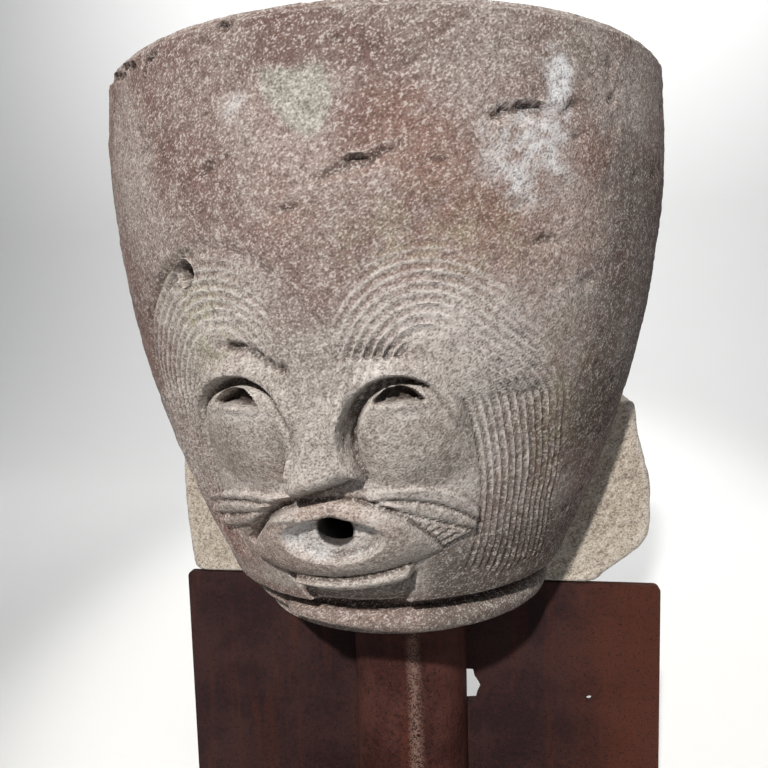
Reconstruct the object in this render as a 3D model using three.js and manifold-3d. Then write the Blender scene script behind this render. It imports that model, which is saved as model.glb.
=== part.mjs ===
// Lion head fountain: a carved sandstone spout stone on a rusted steel pipe, with a steel plate
// welded to each side of the pipe and a flat foot plate under both.
// Millimetres, +Z up. The face looks along -Y. The origin is under the foot plate, on the pipe's axis.
import * as THREE from 'three';
import { mergeVertices } from 'three/addons/utils/BufferGeometryUtils.js';
import Module from 'manifold-3d';

// Stand
const gap = 0.3;
const foot_width = 440;
const foot_front = 230;
const foot_rear = 150;
const foot_thickness = 12;
const pipe_diameter = 114.3;
const pipe_wall = 5;
const pipe_height = 250;
const pipe_sides = 48;
const plate_left = 240;
const plate_right = 246;
const plate_thickness = 8;
const plate_corner = 6;
const plate_notch_width = 13;
const plate_notch_low = 134;
const plate_notch_high = 168;
const plate_hole_x = 179;
const plate_hole_z = 143;
const plate_hole_diameter = 7;

// Stone: the half-round head, measured up from the stone's own underside
const stone_height = 471;
const wide_radius = 252;
const wide_height = 406;
const low_radius = 160;
const low_height = 40;
const swell_power = 1.95;
const rim_radius = 249;
const rim_bevel = 7;
const seat_radius = 126;
const ring_radius = 150;
const ring_low = 9;
const ring_high = 29;
const ring_bulge = 12;
const groove_radius = 143;
const groove_height = 34;
const head_x = -11.5;
const head_y = -4.5;
const face_turn = -4.4;

// Slab behind the head
const slab_thickness = 105;
const slab_left = -242;
const slab_right = 239;
const slab_left_height = 178;
const slab_right_height = 183;
const head_back = 20;
const tail_half_width = 150;
const tail_low = 40;
const tail_top = 330;
const tail_setback = 4;

// Water bore
const bore_diameter = 28;
const bore_height = 113;
const bore_sides = 24;

// Face, with widths measured along the surface at the reference radius
const face_radius = 215;
const eyes = [
    {
        side: 1, z: 182, dome_s: 55, dome_inner: 33, dome_outer: 50, dome_height: 41.5,
        arch_s: 51, arch_inner: 37.5, arch_outer: 37.5, arch_height: 45.5, fade_inner: 172, fade_outer: 195,
        slit_s: 53, slit_z: 211.5, slit_half: 16.5, slit_height: 10.5,
    },
    {
        side: -1, z: 182, dome_s: 58, dome_inner: 36, dome_outer: 50, dome_height: 40,
        arch_s: 61, arch_inner: 38.5, arch_outer: 47, arch_height: 45.5, fade_inner: 198, fade_outer: 197,
        slit_s: 65, slit_z: 208.5, slit_half: 19, slit_height: 11.5,
    },
];
const cheek_height = 8.5;
const socket_depth = 10.5;
const brow_height = 5;
const slit_depth = 11;
const nose = {
    top: 266, tip: 148, middle: -3, bridge_half: 19.5, wing_half: 27, height: 25,
    foot_left: 140, foot_right: 153.5, foot_left_s: -19, foot_right_s: 18,
};
const muzzle = { z: 104, half_width: 72, half_height: 46, height: 13 };
const lips = {
    peak_s: 8, peak_z: 138, left: -99, right: 96, left_fall: 49, right_fall: 64,
    low_s: -49, low_z: 67.5, rise_left: 11.75, rise_right: 26.3, height: 10, rounding: 15, cut: 3,
};
const mouth = { s: -3, z: 106, half_width: 43, half_height: 18.5, depth: 10.5 };
const chin = { s: 5, low_s: -10, low_z: 56.5, low_rise: 10, half_width: 62, height: 12 };
const neck_depth = 17;

// Mane: nested arches combed over each eye and down the side of the face
const mane = {
    count: 12,
    centre_s: 70,
    centre_z: 212,
    first: 27.5,
    pitch: 7,
    nose_dip: 14,
    right_dip: 7.5,
    left_dip: 2.5,
    jaw_s: 122,
    jaw_z: 100,
    foot_z: 62,
    depth: 2.6,
    brow_z: 248,
    arch_points: 18,
    side_points: 9,
};
const whisker = { count: 3, start_s: 28, end_s: 118, first_z: 147, pitch: 10, drop: 23, depth: 3, points: 9 };

// Mesh spacing
const face_step = 6.5;
const plain_step = 30;
const rim_columns = 60;

const stone_base = foot_thickness + gap + pipe_height + gap;
const plate_top = stone_base - gap;
const pipe_radius = pipe_diameter / 2;
const side_angle = Math.PI / 2;
const half_span = face_radius * side_angle;

const wasm = await Module();
wasm.setup();

function clamp(value, low = 0, high = 1) {
    return Math.min(high, Math.max(low, value));
}

function smooth(from, to, value) {
    const t = clamp((value - from) / (to - from));
    return t * t * (3 - 2 * t);
}

function bell(value) {
    return Math.exp(-value * value);
}

function solidFromGeometry(geometry) {
    geometry.deleteAttribute('normal');
    geometry.deleteAttribute('uv');
    const merged = mergeVertices(geometry, 1e-3);
    return new wasm.Manifold(new wasm.Mesh({
        numProp: 3,
        vertProperties: new Float32Array(merged.attributes.position.array),
        triVerts: new Uint32Array(merged.index.array),
    }));
}

function geometryFromSolid(solid) {
    const mesh = solid.getMesh();
    const geometry = new THREE.BufferGeometry();
    geometry.setAttribute('position', new THREE.BufferAttribute(new Float32Array(mesh.vertProperties), 3));
    geometry.setIndex(new THREE.BufferAttribute(new Uint32Array(mesh.triVerts), 1));
    geometry.computeVertexNormals();
    return geometry;
}

// Closed solid from points and triangles that already point outwards
function solidFromFaces(points, faces) {
    const geometry = new THREE.BufferGeometry();
    geometry.setAttribute('position', new THREE.Float32BufferAttribute(points.flat(), 3));
    geometry.setIndex(faces.flat());
    return solidFromGeometry(geometry);
}

function box(x0, x1, y0, y1, z0, z1) {
    const geometry = new THREE.BoxGeometry(x1 - x0, y1 - y0, z1 - z0);
    geometry.translate((x0 + x1) / 2, (y0 + y1) / 2, (z0 + z1) / 2);
    return solidFromGeometry(geometry);
}

// Upright or lying cylinder: along 'z' or along 'y'
function cylinder(radius, from, to, u, v, axis, sides) {
    const geometry = new THREE.CylinderGeometry(radius, radius, to - from, sides);
    if (axis === 'z') {
        geometry.rotateX(Math.PI / 2);
        geometry.translate(u, v, (from + to) / 2);
    } else {
        geometry.translate(u, (from + to) / 2, v);
    }
    return solidFromGeometry(geometry);
}

// Radius of the stone at a height, without the face: seat, ring, groove and swelling body
function bodyRadius(z) {
    if (z <= ring_low) {
        return seat_radius;
    }
    if (z < ring_high) {
        const middle = (ring_low + ring_high) / 2;
        const half = (ring_high - ring_low) / 2;
        const t = (z - middle) / half;
        return ring_radius - ring_bulge * (1 - Math.sqrt(1 - t * t));
    }
    if (z < low_height) {
        return z < groove_height
            ? THREE.MathUtils.mapLinear(z, ring_high, groove_height, ring_radius - ring_bulge, groove_radius)
            : THREE.MathUtils.mapLinear(z, groove_height, low_height, groove_radius, low_radius);
    }
    const t = clamp((wide_height - z) / (wide_height - low_height));
    const above = clamp((z - wide_height) / (stone_height - wide_height));
    return wide_radius - (wide_radius - low_radius) * t ** swell_power - (wide_radius - rim_radius) * above ** 2;
}

// One eye: a domed cheek, the deep groove between it and the arch of the brow, and a slit under a thin lid
function eyeRelief(a, z, eye) {
    const up = z - eye.z;
    const across = a - eye.dome_s;
    const e = Math.hypot(across / (across < 0 ? eye.dome_inner : eye.dome_outer), up / eye.dome_height);
    const crisp = smooth(-32, 12, up) * (1 - 0.7 * smooth(0, 30, across));
    const hard = clamp(1 - e ** 2.6) ** 0.6;
    const soft = clamp(1 - (e / 1.12) ** 2) ** 1.5;
    let h = cheek_height * THREE.MathUtils.lerp(soft, hard, crisp);
    const beside = a - eye.arch_s;
    const arch = Math.hypot(beside / (beside < 0 ? eye.arch_inner : eye.arch_outer), up / eye.arch_height);
    const fade_z = across < 0 ? eye.fade_inner : eye.fade_outer;
    const fade = smooth(fade_z - 12, fade_z + 12, z);
    h -= socket_depth * smooth(0.975, 1.05, e) * (1 - smooth(0.96, 1.03, arch)) * fade;
    h += brow_height * smooth(0.98, 1.06, arch) * (1 - smooth(1.1, 1.34, arch)) * smooth(-14, 16, up) * fade;
    const u = (a - eye.slit_s) / eye.slit_half;
    const above = z - eye.slit_z;
    const inside = Math.min(above, eye.slit_height * clamp(1 - Math.abs(u) ** 2.2) - above);
    h += 2 * bell((above + 3.5) / 3.5) * bell(u / 0.9);
    return h - (Math.abs(u) < 1 ? slit_depth * smooth(-1, 3, inside) : 0);
}

// Nose: flat-fronted, widening and rising to the tip, cut off below along a slanted edge
function noseRelief(s, z) {
    const along = clamp((nose.top - z) / (nose.top - nose.tip));
    const half = THREE.MathUtils.lerp(nose.bridge_half, nose.wing_half, smooth(nose.tip + 32, nose.tip + 2, z));
    const away = Math.abs(s - nose.middle);
    const flank = 1 - smooth(half - 1, half + 7, away);
    const under = THREE.MathUtils.mapLinear(Math.min(s, nose.foot_right_s), nose.foot_left_s, nose.foot_right_s,
        nose.foot_left, nose.foot_right) + 1.3 * Math.max(nose.foot_left_s - 5 - s, 0);
    return nose.height * along ** 1.25 * flank * smooth(under - 1, under + 3, z);
}

// Lower edge of the lips, which the chin band runs up against
function lipsLow(s) {
    const away = s - lips.low_s;
    return lips.low_z + (away > 0
        ? lips.rise_right * (away / (lips.right - lips.low_s)) ** 2
        : lips.rise_left * (away / (lips.left - lips.low_s)) ** 2);
}

// Lower edge of the chin band
function chinLow(s) {
    return chin.low_z + chin.low_rise * ((s - chin.low_s) / chin.half_width) ** 2;
}

// Upper edge of the lips
function lipsHigh(s) {
    const fall = s > lips.peak_s ? lips.right_fall : lips.left_fall;
    return lips.peak_z - fall * ((s - lips.peak_s) / 100) ** 2;
}

// Mouth: swelling lips round a sunk oval, the chin band and the hollow under it
function mouthRelief(s, z) {
    const upper = lipsHigh(s);
    const lower = lipsLow(s);
    const inset = Math.min(upper - z, z - lower, 0.8 * (s - lips.left), 0.8 * (lips.right - s));
    const share = clamp(inset / lips.rounding);
    let h = lips.height * Math.sqrt(1 - (1 - share) ** 2) - lips.cut * bell((inset + 2) / 2.5);
    const q = Math.hypot((s - mouth.s) / mouth.half_width, (z - mouth.z) / mouth.half_height);
    h -= mouth.depth * (1 - smooth(0.74, 1.03, q));

    const chin_share = clamp(1 - ((s - chin.s) / chin.half_width) ** 2);
    const chin_low = chinLow(s);
    const middle = (lower + chin_low) / 2;
    const half = (lower - chin_low) / 2;
    h += chin.height * Math.sqrt(clamp(1 - ((z - middle) / half) ** 2)) * smooth(0, 0.25, chin_share);
    const hollow = smooth(ring_high, ring_high + 3, z) * (1 - smooth(chin_low - 1, chin_low + 3, z));
    return h - neck_depth * hollow * smooth(0, 0.06, chin_share);
}

// Height of the carving over the plain round body, at a distance s from the face's midline
function faceRelief(s, z) {
    const a = Math.abs(s);
    let h = 0;

    // Muzzle: a broad swelling that carries the lips
    h += muzzle.height * bell(a / muzzle.half_width) * bell((z - muzzle.z) / muzzle.half_height);

    for (const eye of eyes) {
        h += s * eye.side > 0 ? eyeRelief(a, z, eye) : 0;
    }
    return h + noseRelief(s, z) + mouthRelief(s, z);
}

// A point of the stone's surface, lifted out by a given height
function surfacePoint(s, z, lift = 0) {
    const angle = s / face_radius + THREE.MathUtils.degToRad(face_turn);
    const top_bevel = rim_bevel * smooth(stone_height - rim_bevel, stone_height, z);
    const radius = bodyRadius(z) + (z > ring_high ? faceRelief(s, z) : 0) - top_bevel + lift;
    return [head_x + radius * Math.sin(angle), head_y - radius * Math.cos(angle), z];
}

// Directions from straight up in which every arch of the mane has a point, from the nose side outwards
const arch_turns = Array.from({ length: mane.arch_points + 1 }, (_, i) => Math.PI * (i / mane.arch_points - 0.5));

// Reach of one line of the mane from the point over the eye, in a direction turned from straight up
function maneReach(line, turn, side) {
    const outer = Math.sin(1.75 * Math.max(turn, 0)) ** 2;
    const inner = Math.sin(1.25 * Math.min(turn, 0)) ** 2;
    const outer_dip = side > 0 ? mane.right_dip : mane.left_dip;
    const first = mane.first - outer_dip * outer - mane.nose_dip * inner;
    return first + (mane.pitch - 0.5 * outer - 0.8 * inner) * line;
}

// Distance from the midline of one line of the mane beside the cheek
function maneSide(line, z, side) {
    const start = mane.centre_s + maneReach(0, Math.PI / 2, side);
    const fall = clamp((z - mane.jaw_z) / (mane.centre_z - mane.jaw_z));
    const under = clamp((mane.jaw_z - z) / 32);
    const pitch = mane.pitch - 0.07 - 0.43 * smooth(mane.centre_z, mane.centre_z - 32, z);
    const spread = 2.3 * clamp((mane.jaw_z + 25 - z) / 57) ** 1.5;
    return mane.jaw_s - (mane.jaw_s - start) * fall ** 2 - 6 * under ** 2 + (pitch + spread) * line;
}

// One line of the mane as [s, z] points: up from the brow, over the eye and down to the jaw
function manePoints(line, side) {
    const points = [];
    for (const turn of arch_turns) {
        const reach = maneReach(line, turn, side);
        const z = mane.centre_z + reach * Math.cos(turn);
        if (turn > 0.6 || z > mane.brow_z) {
            points.push([mane.centre_s + reach * Math.sin(turn), z]);
        }
    }
    for (let i = 1; i <= mane.side_points; i++) {
        const z = THREE.MathUtils.lerp(mane.centre_z, mane.foot_z, i / mane.side_points);
        points.push([maneSide(line, z, side), z]);
    }
    return points;
}

// One edge or middle of a whisker groove as [s, z] points, from the muzzle out to the mane
function whiskerPoints(line) {
    const points = [];
    for (let i = 0; i <= whisker.points; i++) {
        const t = i / whisker.points;
        const s = THREE.MathUtils.lerp(whisker.start_s, whisker.end_s, t);
        points.push([s, whisker.first_z - whisker.pitch * line - whisker.drop * t ** 2]);
    }
    return points;
}

// Carved grooves on both sides of the face, each as edge, middle, edge, middle and so on
function carvedLines() {
    const lines = [];
    for (const side of [-1, 1]) {
        for (const [groove, pointsOf] of [[mane, manePoints], [whisker, whiskerPoints]]) {
            for (let row = 0; row <= 2 * groove.count; row++) {
                const points = pointsOf((row - 1) / 2, side);
                const last = points.length - 1;
                const depth = row % 2 ? groove.depth : 0;
                lines.push(points.map(([s, z], i) => [side * s, z, i === 0 || i === last ? 0 : -depth]));
            }
        }
    }
    return lines;
}

// A ring of points round an oval
function ovalRing(centre_s, centre_z, half_width, half_height, sides) {
    return Array.from({ length: sides }, (_, i) => {
        const angle = 2 * Math.PI * i / sides;
        return [centre_s + half_width * Math.cos(angle), centre_z + half_height * Math.sin(angle), 0];
    });
}

// A level row of points across the face
function levelRow(z, half_width, step) {
    const points = [];
    for (let s = -half_width; s <= half_width; s += step) {
        points.push([s, z, 0]);
    }
    return points;
}

function distanceToLine(s, z, line) {
    let best = Infinity;
    for (let i = 0; i + 1 < line.length; i++) {
        const [s0, z0] = line[i];
        const [ds, dz] = [line[i + 1][0] - s0, line[i + 1][1] - z0];
        const t = clamp(((s - s0) * ds + (z - z0) * dz) / (ds * ds + dz * dz));
        best = Math.min(best, Math.hypot(s - s0 - t * ds, z - z0 - t * dz));
    }
    return best;
}

// All surface points as [s, z, extra height], the carved ones first
function surfaceMap() {
    const kept = [];
    const add = (point, space) => {
        const near = kept.some(([s, z]) => Math.hypot(s - point[0], z - point[1]) < space);
        if (!near && Math.abs(point[0]) < half_span && point[1] > 0 && point[1] < stone_height) {
            kept.push(point);
        }
    };
    const carved = carvedLines();
    carved.flat().forEach((point) => add(point, 1.5));
    const addOffLines = (point, space) => {
        if (carved.every((line) => distanceToLine(point[0], point[1], line) > Math.min(space, 4.5))) {
            add(point, space);
        }
    };
    const features = [];
    for (const share of [1.03, 0.88, 0.74]) {
        features.push(ovalRing(mouth.s, mouth.z, share * mouth.half_width, share * mouth.half_height, 32));
    }
    for (const share of [0.04, 0.2, 0.8, 0.96]) {
        features.push(levelRow(0, 90, 7).map(([s]) => {
            return [s, THREE.MathUtils.lerp(chinLow(s), lipsLow(s), share), 0];
        }));
    }
    for (const inset of [-1.5, 1, 5, 11]) {
        features.push(levelRow(0, 91, 6.5).map(([s]) => [s, lipsLow(s) + inset, 0]));
        features.push(levelRow(0, 91, 6.5).map(([s]) => [s, lipsHigh(s) - inset, 0]));
    }
    for (const rise of [-2, 1, 4]) {
        features.push(levelRow(0, nose.wing_half + 8, 6).map(([s]) => {
            const slant = (nose.foot_right - nose.foot_left) / (nose.foot_right_s - nose.foot_left_s);
            return [s, nose.foot_left + slant * (Math.min(s, nose.foot_right_s) - nose.foot_left_s) + rise, 0];
        }));
    }
    for (const eye of eyes) {
        const width = eye.slit_half;
        for (const share of [1.25, 0.9, 0.5]) {
            features.push(ovalRing(eye.side * eye.slit_s, eye.slit_z + eye.slit_height / 2, share * width,
                share * 0.6 * eye.slit_height, 14));
        }
        for (let i = 0; i <= 20; i++) {
            const angle = Math.PI * (i / 20 * 1.3 - 0.15);
            const inward = Math.cos(angle) < 0;
            for (const share of [0.93, 1.01, 1.06]) {
                const reach = share * (inward ? eye.dome_inner : eye.dome_outer) * Math.cos(angle);
                features.push([[eye.side * (eye.dome_s + reach), eye.z + share * eye.dome_height * Math.sin(angle), 0]]);
            }
            for (const share of [0.97, 1.04, 1.3]) {
                const reach = share * (inward ? eye.arch_inner : eye.arch_outer) * Math.cos(angle);
                features.push([[eye.side * (eye.arch_s + reach), eye.z + share * eye.arch_height * Math.sin(angle), 0]]);
            }
        }
    }
    features.flat().forEach((point) => addOffLines(point, 3));
    const rows = [ring_low, ring_low + 0.6, ring_low + 3, ring_low + 10, ring_high - 2, ring_high - 0.3,
        groove_height, low_height, stone_height - 3 * rim_bevel, stone_height - rim_bevel,
        stone_height - rim_bevel / 2];
    for (const z of rows) {
        for (let i = 1; i < rim_columns; i++) {
            add([half_span * (2 * i / rim_columns - 1), z, 0], 0.5);
        }
    }
    for (let z = low_height + face_step; z < mane.centre_z + 110; z += face_step) {
        const stagger = Math.round(z / face_step) % 2 * face_step / 2;
        for (let s = -216; s <= 216; s += face_step) {
            addOffLines([s + stagger, z, 0], face_step * 0.62);
        }
    }
    for (let z = low_height + plain_step; z < stone_height - 12; z += plain_step) {
        for (let s = -half_span; s <= half_span; s += plain_step) {
            addOffLines([s + 0.01, z, 0], plain_step * 0.7);
        }
    }
    return kept;
}

// Edge points of the surface map, the same heights on both sides
function borderMap() {
    const heights = [0, ring_low, ring_low + 3, ring_low + 10, ring_high - 2, groove_height, low_height];
    for (let z = low_height + 24; z < stone_height - 20; z += 24) {
        heights.push(z);
    }
    heights.push(stone_height - rim_bevel, stone_height);
    const points = [];
    for (let i = 1; i < rim_columns; i++) {
        points.push([half_span * (2 * i / rim_columns - 1), 0, 0]);
        points.push([half_span * (2 * i / rim_columns - 1), stone_height, 0]);
    }
    for (const z of heights) {
        points.push([-half_span, z, 0], [half_span, z, 0]);
    }
    return points;
}

// Delaunay triangles of flat points, added one by one inside one large triangle
function triangulate(points) {
    const far = 1e5;
    const flat = points.map(([s, z], i) => [s + 1e-4 * Math.sin(i * 12.9), z + 1e-4 * Math.cos(i * 7.3)]);
    const n = flat.length;
    flat.push([-far, -far], [far, -far], [0, far]);
    const circle = (a, b, c) => {
        const [ax, ay] = flat[a];
        const [bx, by] = [flat[b][0] - ax, flat[b][1] - ay];
        const [cx, cy] = [flat[c][0] - ax, flat[c][1] - ay];
        const d = 2 * (bx * cy - by * cx);
        const ux = (cy * (bx * bx + by * by) - by * (cx * cx + cy * cy)) / d;
        const uy = (bx * (cx * cx + cy * cy) - cx * (bx * bx + by * by)) / d;
        return { a, b, c, x: ax + ux, y: ay + uy, r: ux * ux + uy * uy };
    };
    let triangles = [circle(n, n + 1, n + 2)];
    for (let i = 0; i < n; i++) {
        const [px, py] = flat[i];
        const edges = new Map();
        triangles = triangles.filter((t) => {
            if ((px - t.x) ** 2 + (py - t.y) ** 2 > t.r) {
                return true;
            }
            for (const [u, v] of [[t.a, t.b], [t.b, t.c], [t.c, t.a]]) {
                if (!edges.delete(`${v},${u}`)) {
                    edges.set(`${u},${v}`, [u, v]);
                }
            }
            return false;
        });
        for (const [u, v] of edges.values()) {
            triangles.push(circle(u, v, i));
        }
    }
    return triangles.filter((t) => t.a < n && t.b < n && t.c < n).map((t) => [t.a, t.b, t.c]);
}

// The half-round head: its carved surface, closed by a flat top, underside and back
function headSolid(back_y) {
    const border = borderMap();
    const map = [...border, ...surfaceMap()];
    const points = map.map(([s, z, extra]) => surfacePoint(s, z, extra));
    const faces = triangulate(map);
    const left = border.map((p, i) => [p, i]).filter(([p]) => p[0] === -half_span);
    const right = border.map((p, i) => [p, i]).filter(([p]) => p[0] === half_span);
    const rim = (height) => border.map((p, i) => [p, i]).filter(([p]) => p[1] === height)
        .sort((a, b) => a[0][0] - b[0][0]).map(([, i]) => i);
    const extend = (list) => list.map(([, i]) => {
        points.push([points[i][0], back_y, points[i][2]]);
        return points.length - 1;
    });
    const left_back = extend(left);
    const right_back = extend(right);
    for (let i = 0; i + 1 < left.length; i++) {
        const [l0, l1] = [left[i][1], left[i + 1][1]];
        const [r0, r1] = [right[i][1], right[i + 1][1]];
        faces.push([left_back[i], l0, l1], [left_back[i], l1, left_back[i + 1]]);
        faces.push([r0, right_back[i], right_back[i + 1]], [r0, right_back[i + 1], r1]);
        faces.push([right_back[i], left_back[i], left_back[i + 1]]);
        faces.push([right_back[i], left_back[i + 1], right_back[i + 1]]);
    }
    const last = left.length - 1;
    const low_loop = [left_back[0], ...rim(0), right_back[0]];
    const top_loop = [left_back[last], ...rim(stone_height), right_back[last]];
    for (const [loop, up] of [[low_loop, false], [top_loop, true]]) {
        for (let i = 1; i + 1 < loop.length; i++) {
            faces.push(up ? [loop[0], loop[i], loop[i + 1]] : [loop[0], loop[i + 1], loop[i]]);
        }
    }
    return solidFromFaces(points, faces);
}

// The rough slab: a worn, broken outline, cut square at the back
function slabSolid() {
    const shape = new THREE.Shape();
    shape.moveTo(slab_left + 12, 0);
    shape.lineTo(slab_right - 58, 0);
    shape.lineTo(slab_right - 30, 20);
    shape.lineTo(slab_right - 7, 38);
    shape.lineTo(slab_right, 52);
    shape.lineTo(slab_right, 104);
    shape.lineTo(slab_right - 8, 134);
    shape.lineTo(slab_right - 13, 150);
    shape.lineTo(slab_right - 16, slab_right_height);
    shape.lineTo(slab_right - 34, slab_right_height - 3);
    shape.lineTo(slab_left + 16, slab_left_height);
    shape.lineTo(slab_left + 3, slab_left_height - 14);
    shape.lineTo(slab_left, slab_left_height - 64);
    shape.lineTo(slab_left, 70);
    shape.lineTo(slab_left + 3, 28);
    shape.lineTo(slab_left + 5, 8);
    shape.closePath();
    const geometry = new THREE.ExtrudeGeometry(shape, { depth: slab_thickness, bevelEnabled: false });
    geometry.rotateX(Math.PI / 2);
    geometry.translate(0, slab_thickness, 0);
    return solidFromGeometry(geometry);
}

// The sloping break above the slab, which joins its back to the back of the head
function tailSolid() {
    const shape = new THREE.Shape();
    shape.moveTo(0, tail_low);
    shape.lineTo(slab_thickness - tail_setback, tail_low);
    shape.lineTo(slab_thickness - tail_setback, slab_left_height + 6);
    shape.lineTo(head_back + 26, tail_top - 40);
    shape.lineTo(head_back - 1, tail_top);
    shape.lineTo(0, tail_top);
    shape.closePath();
    const geometry = new THREE.ExtrudeGeometry(shape, { depth: 2 * tail_half_width, bevelEnabled: false });
    geometry.applyMatrix4(new THREE.Matrix4().set(
        0, 0, 1, head_x - tail_half_width,
        1, 0, 0, 0,
        0, 1, 0, 0,
        0, 0, 0, 1,
    ));
    return solidFromGeometry(geometry);
}

function stoneSolid() {
    const mouth_reach = bodyRadius(bore_height) + muzzle.height;
    const bore_x = head_x + mouth_reach * Math.sin(THREE.MathUtils.degToRad(face_turn));
    const bore = cylinder(bore_diameter / 2, -2 * wide_radius, 2 * slab_thickness, bore_x, bore_height,
        'y', bore_sides);
    return headSolid(head_back).add(slabSolid()).add(tailSolid()).subtract(bore);
}

const materials = {
    sandstone: new THREE.MeshStandardMaterial({ color: 0x9a8377, roughness: 0.95, metalness: 0 }),
    rusted_steel: new THREE.MeshStandardMaterial({ color: 0x5a342a, roughness: 0.8, metalness: 0.3 }),
};

function named(name, solid, material, z = 0) {
    const mesh = new THREE.Mesh(geometryFromSolid(solid), material);
    mesh.name = name;
    mesh.position.z = z;
    return mesh;
}

// A plate wing runs from the pipe out to one side of the stand
function wingSolid(side) {
    const low = foot_thickness + gap;
    const reach = side > 0 ? plate_right : plate_left;
    const shape = new THREE.Shape();
    shape.moveTo(0, low);
    shape.lineTo(reach, low);
    shape.lineTo(reach, plate_top - plate_corner);
    shape.absarc(reach - plate_corner, plate_top - plate_corner, plate_corner, 0, Math.PI / 2);
    shape.lineTo(0, plate_top);
    shape.closePath();
    const geometry = new THREE.ExtrudeGeometry(shape, {
        depth: plate_thickness,
        bevelEnabled: false,
        curveSegments: 5,
    });
    geometry.rotateX(Math.PI / 2);
    geometry.translate(0, plate_thickness, 0);
    let wing = solidFromGeometry(geometry);
    if (side < 0) {
        wing = wing.mirror([1, 0, 0]);
    }
    const clear = pipe_radius + gap;
    wing = wing.subtract(cylinder(clear, 0, stone_base, 0, 0, 'z', pipe_sides));
    wing = wing.subtract(box(-pipe_radius * 0.5, pipe_radius * 0.5, -1, plate_thickness + 1, 0, stone_base));
    if (side > 0) {
        const notch_left = pipe_radius - 2;
        wing = wing.subtract(box(notch_left, pipe_radius + plate_notch_width, -1, plate_thickness + 1,
            plate_notch_low, plate_notch_high));
        wing = wing.subtract(cylinder(plate_hole_diameter / 2, -1, plate_thickness + 1, plate_hole_x,
            plate_hole_z, 'y', 16));
    }
    return wing;
}

const pipe = cylinder(pipe_radius, foot_thickness + gap, stone_base - gap, 0, 0, 'z', pipe_sides)
    .subtract(cylinder(pipe_radius - pipe_wall, 0, stone_base + 1, 0, 0, 'z', pipe_sides));

const fountain = new THREE.Group();
fountain.add(named('lion_stone', stoneSolid(), materials.sandstone, stone_base));
fountain.add(named('support_pipe', pipe, materials.rusted_steel));
fountain.add(named('left_plate', wingSolid(-1), materials.rusted_steel));
fountain.add(named('right_plate', wingSolid(1), materials.rusted_steel));
fountain.add(named('foot_plate', box(-foot_width / 2, foot_width / 2, -foot_front, foot_rear, 0, foot_thickness),
    materials.rusted_steel));

export default fountain;
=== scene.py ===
"""Lion head fountain: a weathered sandstone spout stone, carved with a lion's face, on a rusted steel stand.

The stone is worked out as arrays in millimetres over its own underside: s is the distance along the
surface from the face's midline, z the height. Everything is put into the meshes in metres.
"""
import math

import bpy
import numpy as np
from mathutils import Matrix, Vector


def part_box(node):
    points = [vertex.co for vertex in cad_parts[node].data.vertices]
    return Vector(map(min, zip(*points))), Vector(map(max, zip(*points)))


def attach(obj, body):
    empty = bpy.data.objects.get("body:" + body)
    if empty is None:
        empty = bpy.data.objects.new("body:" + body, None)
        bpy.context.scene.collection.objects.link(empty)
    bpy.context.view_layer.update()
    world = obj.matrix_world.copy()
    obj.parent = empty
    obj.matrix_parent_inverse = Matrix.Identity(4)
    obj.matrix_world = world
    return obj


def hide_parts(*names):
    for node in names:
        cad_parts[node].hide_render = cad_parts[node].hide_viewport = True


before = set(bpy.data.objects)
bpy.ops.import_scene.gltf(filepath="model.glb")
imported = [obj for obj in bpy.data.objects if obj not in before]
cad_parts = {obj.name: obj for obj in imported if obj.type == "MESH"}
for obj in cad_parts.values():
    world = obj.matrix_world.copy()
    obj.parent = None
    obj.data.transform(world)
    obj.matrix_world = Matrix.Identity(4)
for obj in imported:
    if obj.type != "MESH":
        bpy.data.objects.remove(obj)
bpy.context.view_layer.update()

MM = 0.001

# Stone, with the sizes of its CAD solid
STONE_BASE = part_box("lion_stone")[0].z / MM
STONE_HEIGHT = 471.0
HEAD_X = -11.5
HEAD_Y = -4.5
HEAD_BACK = 20.0
FACE_TURN = np.radians(-4.4)
FACE_RADIUS = 215.0
HALF_SPAN = FACE_RADIUS * np.pi / 2
FRONT_LIMIT = -6.0
SEAT_RADIUS = 126.0
RING_LOW, RING_HIGH = 9.0, 29.0
RING_RADIUS = 150.0
RING_BULGE = 12.0
GROOVE_RADIUS, GROOVE_HEIGHT = 143.0, 34.0
LOW_RADIUS, LOW_HEIGHT = 160.0, 40.0
WIDE_RADIUS, WIDE_HEIGHT = 252.0, 406.0
RIM_RADIUS = 249.0
RIM_BEVEL = 7.0
SWELL_POWER = 1.95
SLAB_THICKNESS = 105.0
BORE_RADIUS = 14.0
BORE_HEIGHT = 113.0
BORE_X = -27.25

# Centre of the mane's arcs over each eye
MANE_S, MANE_Z = 70.0, 212.0
# Heights and depths of the carving over and under the plain body
MUZZLE_RISE, CHEEK_RISE, NOSE_RISE, WHISKER_RISE = 13.0, 8.5, 25.0, 4.2
LIP_RISE, SUNK_DEPTH, CHIN_RISE, CHIN_DEPTH = 10.0, 12.5, 12.0, 5.0
BROW_RISE, BROW_DEPTH, SLIT_DEPTH = 5.0, 10.5, 15.0
MANE_DEPTH, DRILLED_DEPTH = 2.2, 14.0

# Slab's worn outline, as x and height, clockwise from its lower left corner
SLAB_OUTLINE = [
    (-237, 8), (-239, 28), (-242, 70), (-242, 114), (-239, 164), (-226, 178), (0, 179), (205, 180),
    (223, 183), (226, 150), (231, 134), (239, 104), (239, 52), (232, 38), (209, 20), (184, 0), (-232, 0),
]
# Side plates: inner edge inside the pipe's wall, rounded corner, and the small hole in the right one
PLATE_INNER, PLATE_CORNER = 56.5, 6.0
PIPE_WALL, PIPE_EASE = 5.0, 0.8
PLATE_EDGE, FOOT_EDGE = 0.6, 0.8
SMALL_HOLE_X, SMALL_HOLE_HEIGHT, SMALL_HOLE_RADIUS = 179.0, 143.0, 3.5
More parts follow.
